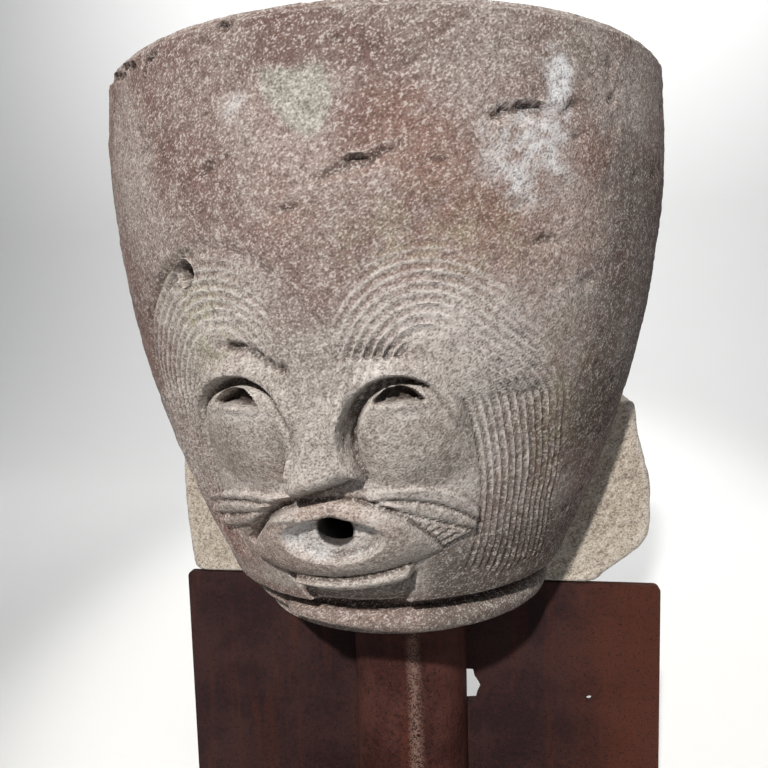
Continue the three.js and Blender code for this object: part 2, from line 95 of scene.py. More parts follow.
# Sloping break behind the head, as depth and height
TAIL_OUTLINE = [(0, 40), (0, 330), (19, 330), (46, 290), (101, 184), (101, 40)]
TAIL_HALF_WIDTH = 150.0

# Camera, from the fit to the photograph: place in metres and angles in radians
CAMERA_PLACE = (0.0963, -0.7199, 0.5385)
CAMERA_YAW, CAMERA_PITCH, CAMERA_ROLL = 0.161, 0.104, 0.0272
FOCAL_SHARE = 733.0 / 768.0

# Light: the key stands a little left of the face's front and about 35 degrees up
KEY_TARGET = Vector((0.0, -0.1, 0.45))
KEY_AZIMUTH, KEY_HEIGHT, KEY_DISTANCE = math.radians(-7.0), math.radians(35.0), 3.2
KEY_POWER, FILL_POWER, BACKDROP_POWER, ROOM_STRENGTH = 520.0, 8.0, 60.0, 0.11


def clamp(value, low=0.0, high=1.0):
    """The value held between low and high."""
    return np.minimum(high, np.maximum(low, value))


def smooth(start, stop, value):
    """Runs from 0 at start to 1 at stop with level ends: 3t^2 - 2t^3 of the share t of the way."""
    t = clamp((value - start) / (stop - start))
    return t * t * (3 - 2 * t)


def bell(value):
    """Bell curve: e to the power of minus the value squared."""
    return np.exp(-value * value)


def between(low, high, value, edge):
    """1 between low and high, falling smoothly to 0 over edge on both sides."""
    return smooth(low - edge, low + edge, value) * (1 - smooth(high - edge, high + edge, value))


def cell_number(i, j, k, seed):
    """A repeatable number from 0 to 1 for each whole-number cell: products of its place, mixed by shifts."""
    i, j, k = (np.asarray(a).astype(np.int64).astype(np.uint64) for a in (i, j, k))
    mask = np.uint64(0xFFFFFFFF)
    n = i * np.uint64(374761393) + j * np.uint64(668265263) + k * np.uint64(2246822519)
    n = (n + np.uint64(seed * 3266489917)) & mask
    n = ((n ^ (n >> np.uint64(15))) * np.uint64(2246822519)) & mask
    n = ((n ^ (n >> np.uint64(13))) * np.uint64(3266489917)) & mask
    return ((n ^ (n >> np.uint64(16))) & np.uint64(0xFFFFFF)).astype(float) / 0xFFFFFF


def cloud(points, size, seed):
    """Smooth noise from 0 to 1: cell numbers at the eight corners round a point, blended by 3t^2 - 2t^3."""
    place = np.asarray(points) / size
    low = np.floor(place)
    t = place - low
    t = t * t * (3 - 2 * t)
    total = 0.0
    for corner in np.ndindex(2, 2, 2):
        weight = np.prod([t[..., a] if corner[a] else 1 - t[..., a] for a in range(3)], axis=0)
        total = total + weight * cell_number(*(low[..., a] + corner[a] for a in range(3)), seed)
    return total


def clouds(points, size, octaves, seed):
    """Noise of several sizes from 0 to 1: each octave has half the size and half the weight of the last."""
    total, weight = 0.0, 0.0
    for octave in range(octaves):
        share = 0.5 ** octave
        total = total + share * cloud(points, size * share, seed + octave)
        weight += share
    return total / weight


def pits(points, spacing, radius, seed, density=0.6, squash=(1.0, 1.0, 1.0)):
    """Depth of scattered bowl-shaped pits from 0 to 1: one in each cell, kept by chance."""
    place = np.asarray(points) / spacing
    home = np.floor(place)
    depth = np.zeros(place.shape[:-1])
    for step in np.ndindex(3, 3, 3):
        cell = home + np.array(step) - 1
        where = [cell[..., a] for a in range(3)]
        centre = np.stack([where[a] + cell_number(*where, seed + a) for a in range(3)], -1)
        away = np.sqrt((((place - centre) * spacing * np.array(squash)) ** 2).sum(-1))
        reach = radius * (0.4 + 0.9 * cell_number(*where, seed + 3))
        kept = cell_number(*where, seed + 4) < density
        depth = np.maximum(depth, kept * clamp(1 - (away / reach) ** 2) * reach / (1.3 * radius))
    return depth


def on_skin(s, z):
    """Places on the unrolled surface, as points for the noise."""
    return np.stack([s, z, 0 * s], -1)


def spot(s, z, middle_s, middle_z, half_s, half_z):
    """Oval spot: a bell curve of the share of the way from its middle to its edge."""
    return bell(np.hypot((s - middle_s) / half_s, (z - middle_z) / half_z))


def spaced(low, high, step_of):
    """Positions from low to high whose spacing is step_of(position): equal steps of the summed density."""
    fine = np.linspace(low, high, 6000)
    density = 1 / step_of((fine[1:] + fine[:-1]) / 2)
    total = np.concatenate([[0.0], np.cumsum(density * np.diff(fine))])
    count = int(np.ceil(total[-1]))
    return np.interp(np.linspace(0, total[-1], count + 1), total, fine)


def mane_row(s, z):
    """Running number of the mane's grooves at a place, whole in the middle of each groove.

    Over the eye it is the distance from a centre above the eye, less a first radius and divided by a
    pitch that both change with the direction. Beside the cheek it is the distance along s instead.
    """
    side = np.abs(s)
    right = s > 0
    across, up = side - MANE_S, z - MANE_Z
    turn = np.arctan2(across, np.maximum(up, 1e-3))
    outwards = np.sin(1.75 * np.maximum(turn, 0)) ** 2
    inwards = np.sin(1.25 * np.minimum(turn, 0)) ** 2
    first = 27.5 - np.where(right, 7.5, 2.5) * outwards - 14.0 * inwards
    pitch = 7.0 - 0.5 * outwards - 0.8 * inwards
    over_eye = (np.hypot(across, up) - first) / pitch
    first_low = np.where(right, 96.4, 97.1)
    fall = clamp((z - 100.0) / 112.0)
    base = 122.0 - (122.0 - first_low) * fall ** 2 - 6.0 * clamp((100.0 - z) / 32.0, 0, 1.4) ** 2
    side_pitch = 6.93 - 0.43 * smooth(MANE_Z, 180.0, z) + 2.3 * clamp((125.0 - z) / 57.0) ** 1.5
    beside = (side - base) / side_pitch
    return np.where(up > 0, over_eye, beside)


def mane_phase(s, z):
    """Row number that the grooves follow: over the right eye they sweep out five rows wider to the side."""
    up = z - MANE_Z
    turn = np.arctan2(np.abs(s) - MANE_S, np.maximum(up, 1e-3))
    swept = 5.0 * clamp(turn / (np.pi / 2)) ** 2.4
    return mane_row(s, z) - np.where((s > 0) & (up > 0), swept, 0.0)


def mane_ends(s, z):
    """1 where the rows over the eyes run, 0 on the forehead and at the right brow's outer end."""
    side = np.abs(s)
    inner = np.where(s > 0, smooth(8.0, 20.0 + 8.0 * smooth(262.0, 246.0, z), side), smooth(20.0, 36.0, side))
    inner = 1 - (1 - inner) * smooth(205.0, 225.0, z)
    ragged = 10.0 * (cloud(on_skin(s, z), 8.0, 13) - 0.5)
    away = np.hypot(side - MANE_S, z - MANE_Z)
    near = (1 - smooth(34.0, 60.0, away)) * smooth(198.0, 226.0, z + ragged) * (s > 0)
    return inner * (1 - near * smooth(MANE_S, 84.0, side) * (1 - 0.3 * smooth(226.0, 212.0, z)))


def mane_relief(s, z, rough):
    """Depth of the mane's grooves: fluted over the eye, narrow beside the cheek, worn by rough patches."""
    side = np.abs(s)
    row = mane_row(s, z) + 0.2 * (rough - 0.5)
    wave = 0.5 + 0.5 * np.cos(2 * np.pi * (mane_phase(s, z) + 0.2 * (rough - 0.5)))
    beside = 1 - smooth(160.0, 200.0, z)
    fluted = 1 - (1 - wave) ** 2.0
    narrow = wave ** 1.3
    shape = fluted + (narrow - fluted) * beside
    innermost = np.where(s > 0, 2.2, 3.0)
    first = (innermost + 0.4) * smooth(222.0, 236.0, z) - 0.4
    outer_end = 1 - smooth(12.2, 12.6, row)
    in_rows = smooth(first, first + 0.3, row) * outer_end
    comb_top = brow_edge(s)
    over_brow = np.where(side < 84.0, smooth(comb_top - 1.0, comb_top + 1.5, z), 1.0)
    foot_z = 66.0 - 11.0 * smooth(120.0, 165.0, side) + 6.0 * smooth(170.0, 200.0, side)
    foot = smooth(foot_z - 2.0, foot_z + 8.0, z)
    reach = in_rows * over_brow * foot * mane_ends(s, z)
    above_brow = z - comb_top
    comb = bell((above_brow - 3.0) / 8.5) * between(14.0, 60.0, side, 2.5) * (s > 0)
    hacked = bell((above_brow - 2.5) / 3.4) * between(20.0, 66.0, side, 5.0) * (s < 0)
    hacked = hacked * (2.6 + 5.2 * cloud(on_skin(s, z), 4.5, 9))
    faint = 1 - np.where(s > 0, 0.3, 0.4) * smooth(205.0, 240.0, z)
    worn_top = 1 - 0.55 * smooth(8.0, 11.0, row) * (1 - beside)
    inner_worn = 1 - 0.6 * smooth(34.0, 16.0, side) * smooth(246.0, 262.0, z)
    shoulder = smooth(130.0, 152.0, side) * smooth(165.0, 190.0, z)
    broken = 0.55 + 0.9 * cloud(on_skin(s, z), 9.0, 7)
    worn = (1 - shoulder + shoulder * broken) * worn_top * inner_worn
    temple = smooth(84.0, 96.0, side) * between(172.0, 262.0, z, 12.0)
    erode = 1 - 0.6 * smooth(0.58, 0.78, rough) * (1 - 0.6 * beside) * (1 - 0.7 * temple)
    depth = (MANE_DEPTH + 0.5 * temple) * worn * erode * faint
    edge = smooth(255.0, 275.0, z) * (s < 0)
    outermost = bell((row - 11.4) / 0.32) * edge * (0.25 + 0.75 * smooth(76.0, 96.0, side))
    step = smooth(11.5, 12.4, row) * edge * (1 - smooth(15.0, 26.0, row))
    grooves = depth * shape * reach + 2.8 * comb * shape * over_brow * outer_end
    return 1.2 * step - grooves - 3.4 * outermost - hacked


def brow_edge(s):
    """Height of the brow band's upper edge: level over the right eye, sloping to the nose on the left."""
    side = np.abs(s)
    left = 248.0 - 16.0 * smooth(58.0, 20.0, side)
    right = 241.0 + 3.0 * smooth(48.0, 70.0, side) - 2.0 * smooth(30.0, 14.0, side)
    return np.where(s > 0, right, left)


def whisker_relief(s, z):
    """Strands of the whiskers: a raised band on the cheek with two long grooves, and a hatched leaf below.

    Each edge is a level line that bends down with the square of the distance from its start.
    """
    side = np.abs(s)
    right = s > 0
    right_top = 148.0 - 0.0083 * np.maximum(side - 66.0, 0) ** 2 - 0.003 * np.maximum(50.0 - side, 0) ** 2
    left_top = 139.5 - 0.0017 * np.maximum(side - 52.0, 0) ** 2
    top = np.where(right, right_top, left_top)
    right_first = 137.0 - 0.0042 * np.maximum(side - 45.0, 0) ** 2 - 0.008 * np.maximum(45.0 - side, 0) ** 2
    left_first = 130.0 - 0.0016 * np.maximum(side - 53.0, 0) ** 2
    first = np.where(right, right_first, left_first)
    second = np.where(right, 134.0 - 0.342 * (side - 35.0), 122.0 - 0.22 * (side - 66.0))
    lips = 138.0 - 0.0064 * (side - 8.0) ** 2
    third = np.where(right, np.maximum(lips - 0.5, 95.0 + 0.42 * (side - 90.0)), 113.0 - 0.24 * (side - 66.0))
    reach_out = np.where(right, 119.0, 150.0)
    ends = smooth(24.0, 30.0, side) * (1 - smooth(reach_out - 4.0, reach_out + 3.0, side))
    inside = smooth(third - 3.0, third + 2.0, z) * (1 - smooth(top - 3.0, top + 0.5, z))
    h = WHISKER_RISE * inside * ends
    for line, depth, start in ((first, 3.2, 26.0), (second, 3.2, np.where(right, 36.0, 50.0))):
        along = smooth(start, start + 8.0, side) * (1 - smooth(reach_out - 3, reach_out + 4, side))
        h = h - depth * bell((z - line) / 1.6) * along
    along_third = smooth(14.0, 26.0, side) * (1 - smooth(104.0, 116.0, side)) * right
    h = h - 3.6 * bell((z - third) / 1.9) * along_third
    leaf = smooth(third + 1.0, third + 4.0, z) * (1 - smooth(second - 5.0, second - 2.0, z))
    leaf = leaf * smooth(50.0, 60.0, side) * (1 - smooth(98.0, 108.0, side)) * right
    stroke = np.cos(2 * np.pi * (z - 0.42 * s) / 6.4)
    return h - 2.6 * leaf * (0.5 + 0.5 * stroke)


def eye_slit(s, z, eye):
    """How far a place lies inside the slit, its height over the sill, and its share of the half width."""
    side = np.abs(s)
    u = (side - eye["slit"]) / eye["slit_half"]
    lean = np.where(np.abs(u) < 1, u + eye["lean"] * (1 - u * u), 2.0)
    ragged = 0.9 * (cloud(on_skin(s, z), 6.0, 3) - 0.5) - 0.8 * bell((u - 0.3) / 0.35)
    above = z - eye["slit_z"] - eye["tilt"] * (side - eye["slit"]) + ragged
    top = eye["slit_height"] * clamp(1 - np.abs(lean) ** 2.2)
    inside = np.where((np.abs(lean) < 1) & (s * eye["sign"] > 0), np.minimum(above, top - above), -5.0)
    return inside, above, u


def eye_relief(s, z, eye):
    """One eye: a domed cheek, the deep groove between it and the brow band, and the eye's slit.

    The dome and the brow's arch are two ovals with different half widths on their nose and outer
    sides. The groove fills what lies outside the dome and inside the arch.
    """
    here = s * eye["sign"] > 0
    side = np.abs(s)
    up = z - eye["z"]
    across = side - eye["dome"]
    e = np.hypot(across / np.where(across < 0, eye["dome_inner"], eye["dome_outer"]), up / eye["dome_height"])
    hard = clamp(1 - e ** 2.6) ** 0.6
    soft = clamp(1 - (e / 1.12) ** 2) ** 1.5
    crisp = smooth(-32.0, 12.0, up) * (1 - 0.7 * smooth(0.0, 30.0, across))
    h = CHEEK_RISE * (soft + (hard - soft) * crisp)

    beside = side - eye["arch"]
    a = np.hypot(beside / np.where(beside < 0, eye["arch_inner"], eye["arch_outer"]), up / eye["arch_height"])
    fade = np.where(across < 0, smooth(*eye["inner_fade"], z), smooth(*eye["outer_fade"], z))
    h = h - BROW_DEPTH * smooth(0.975, 1.045, e) * (1 - smooth(0.965, 1.03, a)) * fade
    h = h + BROW_RISE * smooth(0.98, 1.05, a) * (1 - smooth(1.10, 1.34, a)) * smooth(-14.0, 16.0, up) * fade
    valley = smooth(138.0, 158.0, z) * (1 - smooth(176.0, 192.0, z)) * (across < 0)
    h = h - 3.5 * valley * bell((e - 1.06) / 0.13)

    inside, above, u = eye_slit(s, z, eye)
    h = h + 2.4 * bell((above + 3.5) / 3.5) * bell(u / 0.9)
    h = h - SLIT_DEPTH * smooth(-0.8, 1.6, inside)
    return np.where(here, h, 0.0)


def lip_edges(s):
    """Upper and lower edge of the lips: parabolas of other strength on each side of their peaks."""
    upper = 138.0 - np.where(s > 8.0, 0.0064, 0.0046) * (s - 8.0) ** 2
    lower = 67.5 + np.where(s > -49.0, 0.00125, 0.0047) * (s + 49.0) ** 2
    return upper, lower


def chin_low_edge(s):
    """Lower edge of the chin band: a parabola."""
    return 56.5 + 0.0026 * (s + 10.0) ** 2


def chin_hollow(s, z):
    """1 in the hollow under the chin band, which ends at a steep wall on the left and on the right."""
    across = smooth(-1.5, 1.5, s + 58.0 - 0.8 * (52.0 - z)) * (1 - smooth(58.0, 65.0, s - 0.3 * (z - 52.0)))
    return smooth(RING_HIGH, RING_HIGH + 3.0, z) * (1 - smooth(-1.0, 3.5, z - chin_low_edge(s))) * across


def mouth_oval(s, z):
    """Share of the way from the middle of the sunk oval round the spout to its rim."""
    return np.hypot((s + 3.0) / 43.0, (z - 106.0 - 0.06 * s) / 18.5)


def mouth_relief(s, z):
    """Lips as a rounded ring, the sunk oval round the spout, the chin band and the hollow under it."""
    upper, lower = lip_edges(s)
    slope = 1 / np.hypot(1.0, 0.0115 * (s - 8.0))
    inset = np.minimum((upper - z) * slope, (z - lower) * (1 - 0.5 * smooth(20.0, 75.0, s)))
    inset = np.minimum(inset, np.minimum(s + 99.0, 96.0 - s) * 0.8)
    rounding = np.sqrt(clamp(1 - (1 - clamp(inset / 15.0)) ** 2))
    h = LIP_RISE * rounding * (1 - 0.45 * smooth(55.0, 90.0, s))
    left_cut = smooth(-18.0, -34.0, s) * (z > lower + 6.0)
    undercut = bell((inset + 1.4 + 1.8 * left_cut) / (1.5 + 1.9 * left_cut)) * (s < 40.0)
    h = h - (2.0 + 9.0 * left_cut) * undercut
    sunk = 1 - smooth(0.74, 1.03, mouth_oval(s, z))
    h = h - SUNK_DEPTH * sunk
    channel = bell(s / 13.0) * (1 - smooth(96.0, 108.0, z)) * smooth(82.0, 94.0, z)
    h = h - 2.5 * channel
    h = h - 3.5 * bell(np.hypot((s - 1.0) / 19.0, (z - 113.0) / 17.0) ** 2)

    chin_low = chin_low_edge(s)
    middle, half = (lower + chin_low) / 2, (lower - chin_low) / 2 + 0.3
    share = clamp(1 - ((s - 5.0) / 61.0) ** 2)
    roll = np.sqrt(clamp(1 - ((z - middle) / half) ** 2))
    h = h + CHIN_RISE * roll * smooth(0.0, 0.3, share)
    return h - (CHIN_DEPTH + 3.0 * smooth(52.0, 40.0, z)) * chin_hollow(s, z)


def nose_relief(s, z):
    """Nose: a flat-fronted bridge that widens and rises to the tip, cut off below along a slanted edge."""
    along = clamp((266.0 - z) / (266.0 - 148.0))
    half = 19.5 + 7.5 * smooth(182.0, 150.0, z) + 3.0 * smooth(200.0, 240.0, z)
    away = np.abs(s + 3.0)
    soft = smooth(160.0, 190.0, z) * (s < -3.0)
    flank = 1 - smooth(half - 1.0 - 6.0 * soft, half + 6.0 + 11.0 * soft, away)
    under = 140.0 + 0.37 * (np.minimum(s, 18.0) + 19.0) - 0.3 * np.maximum(s - 18.0, 0)
    under = under + 1.3 * np.maximum(-24.0 - s, 0)
    foot = smooth(under - 1.0, under + 5.5, z)
    h = NOSE_RISE * along ** 1.25 * (1 - 0.12 * (away / half) ** 2) * flank * foot
    h = h * (1 - 0.3 * bell(np.maximum(z - under, 0) / 8.0))
    for nostril in (-27.0, 10.0):
        h = h - 2.6 * bell(np.hypot((s - nostril) / 3.6, (z - 156.0 - 0.1 * nostril) / 1.6))
    return h


RIGHT_EYE = {
    "sign": 1, "z": 182.0, "dome": 55.0, "dome_inner": 33.0, "dome_outer": 50.0, "dome_height": 41.5,
    "arch": 51.0, "arch_inner": 37.5, "arch_outer": 39.0, "arch_height": 46.0,
    "inner_fade": (158.0, 186.0), "outer_fade": (186.0, 204.0),
    "slit": 53.0, "slit_half": 16.5, "slit_z": 211.5, "slit_height": 10.5, "lean": 0.12, "tilt": 0.03,
}
LEFT_EYE = {
    "sign": -1, "z": 182.0, "dome": 58.0, "dome_inner": 36.0, "dome_outer": 50.0, "dome_height": 40.5,
    "arch": 61.0, "arch_inner": 38.5, "arch_outer": 47.0, "arch_height": 46.0,
    "inner_fade": (190.0, 206.0), "outer_fade": (188.0, 206.0),
    "slit": 65.0, "slit_half": 19.5, "slit_z": 208.5, "slit_height": 12.0, "lean": 0.2, "tilt": 0.0,
}


def face_relief(s, z, rough):
    """Height of all the carving over the plain round body, as the sum of its features."""
    side = np.abs(s)
    h = MUZZLE_RISE * bell(side / 72.0) * bell((z - 104.0) / 46.0)
    h = h + eye_relief(s, z, RIGHT_EYE) + eye_relief(s, z, LEFT_EYE)
    h = h + nose_relief(s, z) + mouth_relief(s, z)
    h = h + whisker_relief(s, z) + mane_relief(s, z, rough)
    return h


# Dents: middle, height, half width, fall below the upper edge, depth, and slope of the edge
DENTS = [
    (32, 371, 22, 6.5, 6.0, 0.35), (131, 405, 12, 8, 7.0, 0.1), (112, 400, 8, 6, 4.5, 0.4),
    (161, 408, 9, 4, 4.0, 0.35), (167, 391, 6, 4, 3.5, 0.3), (150, 381, 4, 3.5, 4.0, 0.0),
    (177, 431, 5, 3.5, 3.0, 0.0), (198, 418, 4, 3.5, 3.5, 0.0), (147, 320, 9, 4, 4.5, 0.1),
    (77, 371, 8, 4, 3.0, 0.35), (-10, 345, 9, 5, 3.5, 0.35), (-120, 396, 9, 4, 2.5, 0.35),
    (60, 429, 8, 4, 2.5, 0.3), (-47, 378, 5, 3, 3.0, -0.3), (-58, 387, 5, 3, 2.5, -0.3),
    (-62, 372, 7, 3, 3.0, 0.4), (24, 443, 6, 4, 3.5, -0.2), (133, 447, 8, 4, 2.5, 0.2),
    (-102, 405, 5, 3, 2.5, 0.4), (-59, 409, 4, 3, 2.0, 0.0),
]
# Cracks at the upper left rim: start and end of each stretch
CRACKS = [
    (-196, 467, -161, 458), (-161, 458, -144, 454), (-150, 461, -128, 456), (-117, 445, -114, 454),
    (-114, 454, -102, 458), (-48, 461, -38, 464),
]
# Drilled hole over the left eye
DRILLED_S, DRILLED_Z, DRILLED_HALF = -93.0, 304.5, 8.5


def drilled_hole(s, z):
    """Share of the way from the drilled hole's middle to its edge."""
    return np.hypot((s - DRILLED_S) / DRILLED_HALF, (z - DRILLED_Z) / (0.92 * DRILLED_HALF))


def marks(s, z):
    """Depth of single marks: the drilled hole on the left, dents that drop below a sharp edge, and cracks.

    A dent is a bell across, a step at its ragged upper edge and a half bell below it. A crack is a bell
    of the distance from its line.
    """
    depth = DRILLED_DEPTH * (1 - smooth(0.7, 1.1, drilled_hole(s, z)))
    depth = depth + 4.0 * bell(np.hypot((s + 105.0) / 9.0, (z - 301.0 - 0.6 * (s + 105.0)) / 2.6))
    depth = depth + 3.0 * spot(s, z, -84.0, 314.0, 4.0, 3.0)
    ragged = 4.0 * (cloud(on_skin(s, z), 6.0, 17) - 0.5)
    for middle, height, wide, fall, deep, slope in DENTS:
        below = height + slope * (s - middle) + ragged - z
        dent = bell((s - middle) / wide) * smooth(-0.6, 1.6, below) * bell(np.maximum(below, 0) / fall)
        depth = depth + deep * dent
    for s_0, z_0, s_1, z_1 in CRACKS:
        length = np.hypot(s_1 - s_0, z_1 - z_0)
        along = ((s - s_0) * (s_1 - s_0) + (z - z_0) * (z_1 - z_0)) / length
        off = ((z - z_0) * (s_1 - s_0) - (s - s_0) * (z_1 - z_0)) / length
        depth = depth + 4.0 * bell((off + 0.3 * ragged) / 1.6) * between(0.0, length, along, 2.5)
    return depth


def profile_rows():
    """Radius and height of the rows: seat, shelf, the ring's half-round, the groove and the swelling body."""
    turn = np.linspace(-np.pi / 2, np.pi / 2, 13)
    middle, half = (RING_LOW + RING_HIGH) / 2, (RING_HIGH - RING_LOW) / 2
    inner = RING_RADIUS - RING_BULGE
    low = [(SEAT_RADIUS, z) for z in np.linspace(0, RING_LOW, 4)]
    low += [(r, RING_LOW) for r in np.linspace(SEAT_RADIUS, inner, 4)[1:-1]]
    low += [(inner + RING_BULGE * np.cos(a), middle + half * np.sin(a)) for a in turn]
    low += [(GROOVE_RADIUS - 2.0, GROOVE_HEIGHT - 2.0), (GROOVE_RADIUS - 1.0, GROOVE_HEIGHT + 2.0)]
    low += [(r, LOW_HEIGHT - 1.2) for r in np.linspace(GROOVE_RADIUS + 1.0, LOW_RADIUS - 2.0, 4)]
    body = spaced(LOW_HEIGHT, STONE_HEIGHT, row_step)
    share = clamp((WIDE_HEIGHT - body) / (WIDE_HEIGHT - LOW_HEIGHT))
    above = clamp((body - WIDE_HEIGHT) / (STONE_HEIGHT - WIDE_HEIGHT))
    radius = WIDE_RADIUS - (WIDE_RADIUS - LOW_RADIUS) * share ** SWELL_POWER
    radius = radius - (WIDE_RADIUS - RIM_RADIUS) * above ** 2
    radius = radius - RIM_BEVEL * smooth(STONE_HEIGHT - RIM_BEVEL, STONE_HEIGHT, body)
    return np.concatenate([[r for r, z in low], radius]), np.concatenate([[z for r, z in low], body])


def ring_drift(s, z):
    """How far the low mouldings drift up or down: the ring swells and its groove opens towards the right."""
    to_right = smooth(-110.0, 110.0, s) * 2 - 1
    low_edge = bell((z - RING_LOW) / 5.0) * (z > 0)
    high_edge = bell((z - RING_HIGH) / 5.0)
    body_edge = bell((z - LOW_HEIGHT) / 7.0)
    return to_right * (-3.0 * low_edge + 0.8 * high_edge + 2.2 * body_edge)


def ring_wear(s, z):
    """How far the ring is worn back: a little everywhere, more at its far left."""
    on_ring = between(RING_LOW, RING_HIGH, z, 3.0)
    return on_ring * 9.0 * smooth(-92.0, -122.0, s) * (1 - smooth(-200.0, -260.0, s))


def row_step(z):
    """Distance between rows: fine over the face, finest at the eyes and the nose's foot, coarse above."""
    step = 1.95 - 0.5 * bell((z - 145.0) / 14.0) - 0.45 * bell((z - 215.0) / 18.0)
    return step + 1.1 * smooth(300.0, 345.0, z) * (1 - 0.75 * smooth(436.0, 448.0, z))


def column_step(s):
    """Distance between columns: fine over the face and mane, coarse on the flanks."""
    return 1.75 + 0.25 * smooth(100.0, 115.0, np.abs(s)) + 3.6 * smooth(212.0, 245.0, np.abs(s))


def grid_faces(rows, columns):
    """Quads of a grid whose columns run round and close, each row's points next to the following row's."""
    i, j = np.meshgrid(np.arange(rows - 1), np.arange(columns), indexing="ij")
    k = (j + 1) % columns
    row, following = i * columns, (i + 1) * columns
    return np.stack([row + j, row + k, following + k, following + j], -1).reshape(-1, 4)


def place_object(name, data):
    """A new object with this data, linked to the scene."""
    thing = bpy.data.objects.new(name, data)
    bpy.context.scene.collection.objects.link(thing)
    return thing


def take_shape(thing):
    """The object's mesh with its modifiers applied, as new data."""
    graph = bpy.context.evaluated_depsgraph_get()
    return bpy.data.meshes.new_from_object(thing.evaluated_get(graph))


def shade_smooth(mesh, degrees):
    """Smooth shading with hard edges above an angle."""
    for polygon in mesh.polygons:
        polygon.use_smooth = True
    mesh.set_sharp_from_angle(angle=np.radians(degrees))


def make_mesh(name, points, quads, triangles=()):
    """A mesh object from arrays of points in millimetres over the floor, quads and triangles."""
    mesh = bpy.data.meshes.new(name)
    faces = [tuple(f) for f in quads.tolist()] + [tuple(f) for f in triangles]
    mesh.from_pydata((points * MM).tolist(), [], faces)
    mesh.validate()
    mesh.update()
    return place_object(name, mesh)


def closed_grid(name, grid, first_pole, last_pole):
    """A closed skin from rows of points that run round, with a single point at both ends."""
    rows, columns = grid.shape[:2]
    points = np.concatenate([grid.reshape(-1, 3), [first_pole, last_pole]])
    first, last = rows * columns, rows * columns + 1
    start = (rows - 1) * columns
    fans = [(first, (j + 1) % columns, j) for j in range(columns)]
    fans += [(last, start + j, start + (j + 1) % columns) for j in range(columns)]
    return make_mesh(name, points, grid_faces(rows, columns), fans)


def grid_normals(grid):
    """Outward unit normals of a grid that closes along its columns: cross product of its two differences."""
    along = np.roll(grid, -1, axis=1) - np.roll(grid, 1, axis=1)
    up = np.gradient(grid, axis=0)
    normal = np.cross(along, up)
    return normal / np.maximum(np.linalg.norm(normal, axis=-1, keepdims=True), 1e-9)


def weathering(points, smoothness):
    """Depth of the worn stone's roughness: large and middle clouds, fine grain, wide dents and small pits."""
    coarse = 1.6 * clouds(points, 46.0, 2, 11) + 2.0 * clouds(points, 13.0, 3, 21)
    dents = 2.4 * pits(points, 27.0, 7.5, 41, 0.5, (0.75, 1.0, 1.3))
    dents = dents + 1.5 * pits(points, 11.0, 3.2, 51, 0.55, (0.8, 1, 1.2))
    grain = 0.9 * clouds(points, 4.6, 2, 31)
    return (1 - 0.72 * smoothness) * (coarse + dents) + (1 - 0.5 * smoothness) * grain


def head_grid():
    """Rows of the half-round head: the carved front, short flanks and the rough flat back, then the caps.

    A row is the front arc (radius plus relief, turned by s over the reference radius), then straight
    runs back to the plane HEAD_BACK and across it. The caps shrink the end rows to a point.
    """
    radius, height = profile_rows()
    s = spaced(-HALF_SPAN, HALF_SPAN, column_step)
    s_grid, z_grid = np.meshgrid(s, height)
    rough = clouds(on_skin(s_grid, z_grid), 24.0, 3, 5)
    relief = np.where(z_grid >= LOW_HEIGHT - 0.5, face_relief(s_grid, z_grid, rough), 0.0)
    behind_chin = between(-48.0, 64.0, s_grid, 2.0) * np.maximum(radius[:, None] - GROOVE_RADIUS + 1.0, 0.0)
    in_groove = (z_grid > RING_HIGH) & (z_grid < LOW_HEIGHT - 0.5)
    relief = np.where(in_groove, -np.maximum(4.0 * bell(s_grid / 60.0), behind_chin), relief)
    relief = relief - marks(s_grid, z_grid) * (z_grid > LOW_HEIGHT)
    angle = s_grid / FACE_RADIUS + FACE_TURN
    reach = radius[:, None] + relief - ring_wear(s_grid, z_grid)
    front_z = z_grid + ring_drift(s_grid, z_grid)
    front = np.stack([HEAD_X + reach * np.sin(angle), HEAD_Y - reach * np.cos(angle), front_z], -1)
    left, right = front[:, :1], front[:, -1:]

    def run(start, stop, shares):
        return start + (stop - start) * np.asarray(shares)[None, :, None]

    right_back = right * [1, 0, 1] + [0, HEAD_BACK, 0]
    left_back = left * [1, 0, 1] + [0, HEAD_BACK, 0]
    body = np.concatenate([
        front,
        run(right, right_back, np.linspace(0, 1, 9)[1:]),
        run(right_back, left_back, np.linspace(0, 1, 46)[1:]),
        run(left_back, left, [0.5]),
    ], axis=1)
    low_pole = np.array([HEAD_X, -50.0, 0.0])
    top_pole = np.array([HEAD_X, -105.0, STONE_HEIGHT])
    low_cap = low_pole + (body[0] - low_pole) * np.linspace(0, 1, 7)[1:-1, None, None]
    top_cap = top_pole + (body[-1] - top_pole) * np.linspace(1, 0, 17)[1:-1, None, None] ** 0.9
    return np.concatenate([low_cap, body, top_cap]), low_pole, top_pole


def in_stone(points):
    """The s and z of points on the stone, from their direction round the head's axis."""
    angle = np.arctan2(points[..., 0] - HEAD_X, HEAD_Y - points[..., 1]) - FACE_TURN
    return FACE_RADIUS * angle, points[..., 2]


def carved_area(s, z):
    """1 where the stone was dressed smooth for the face, falling to 0 on the rough block round it."""
    side = np.abs(s)
    face = (1 - smooth(100.0, 150.0, side)) * (1 - smooth(225.0, 262.0, z))
    bridge = (1 - smooth(20.0, 42.0, side)) * (1 - smooth(235.0, 290.0, z))
    ring = 1 - smooth(LOW_HEIGHT + 6.0, LOW_HEIGHT + 24.0, z)
    return np.maximum(np.maximum(face, 0.8 * bridge), 0.75 * ring)


def combed_area(s, z):
    """1 where the mane's rows run."""
    row = mane_row(s, z)
    return smooth(-1.0, 0.0, row) * (1 - smooth(11.5, 13.5, row)) * smooth(50.0, 66.0, z)


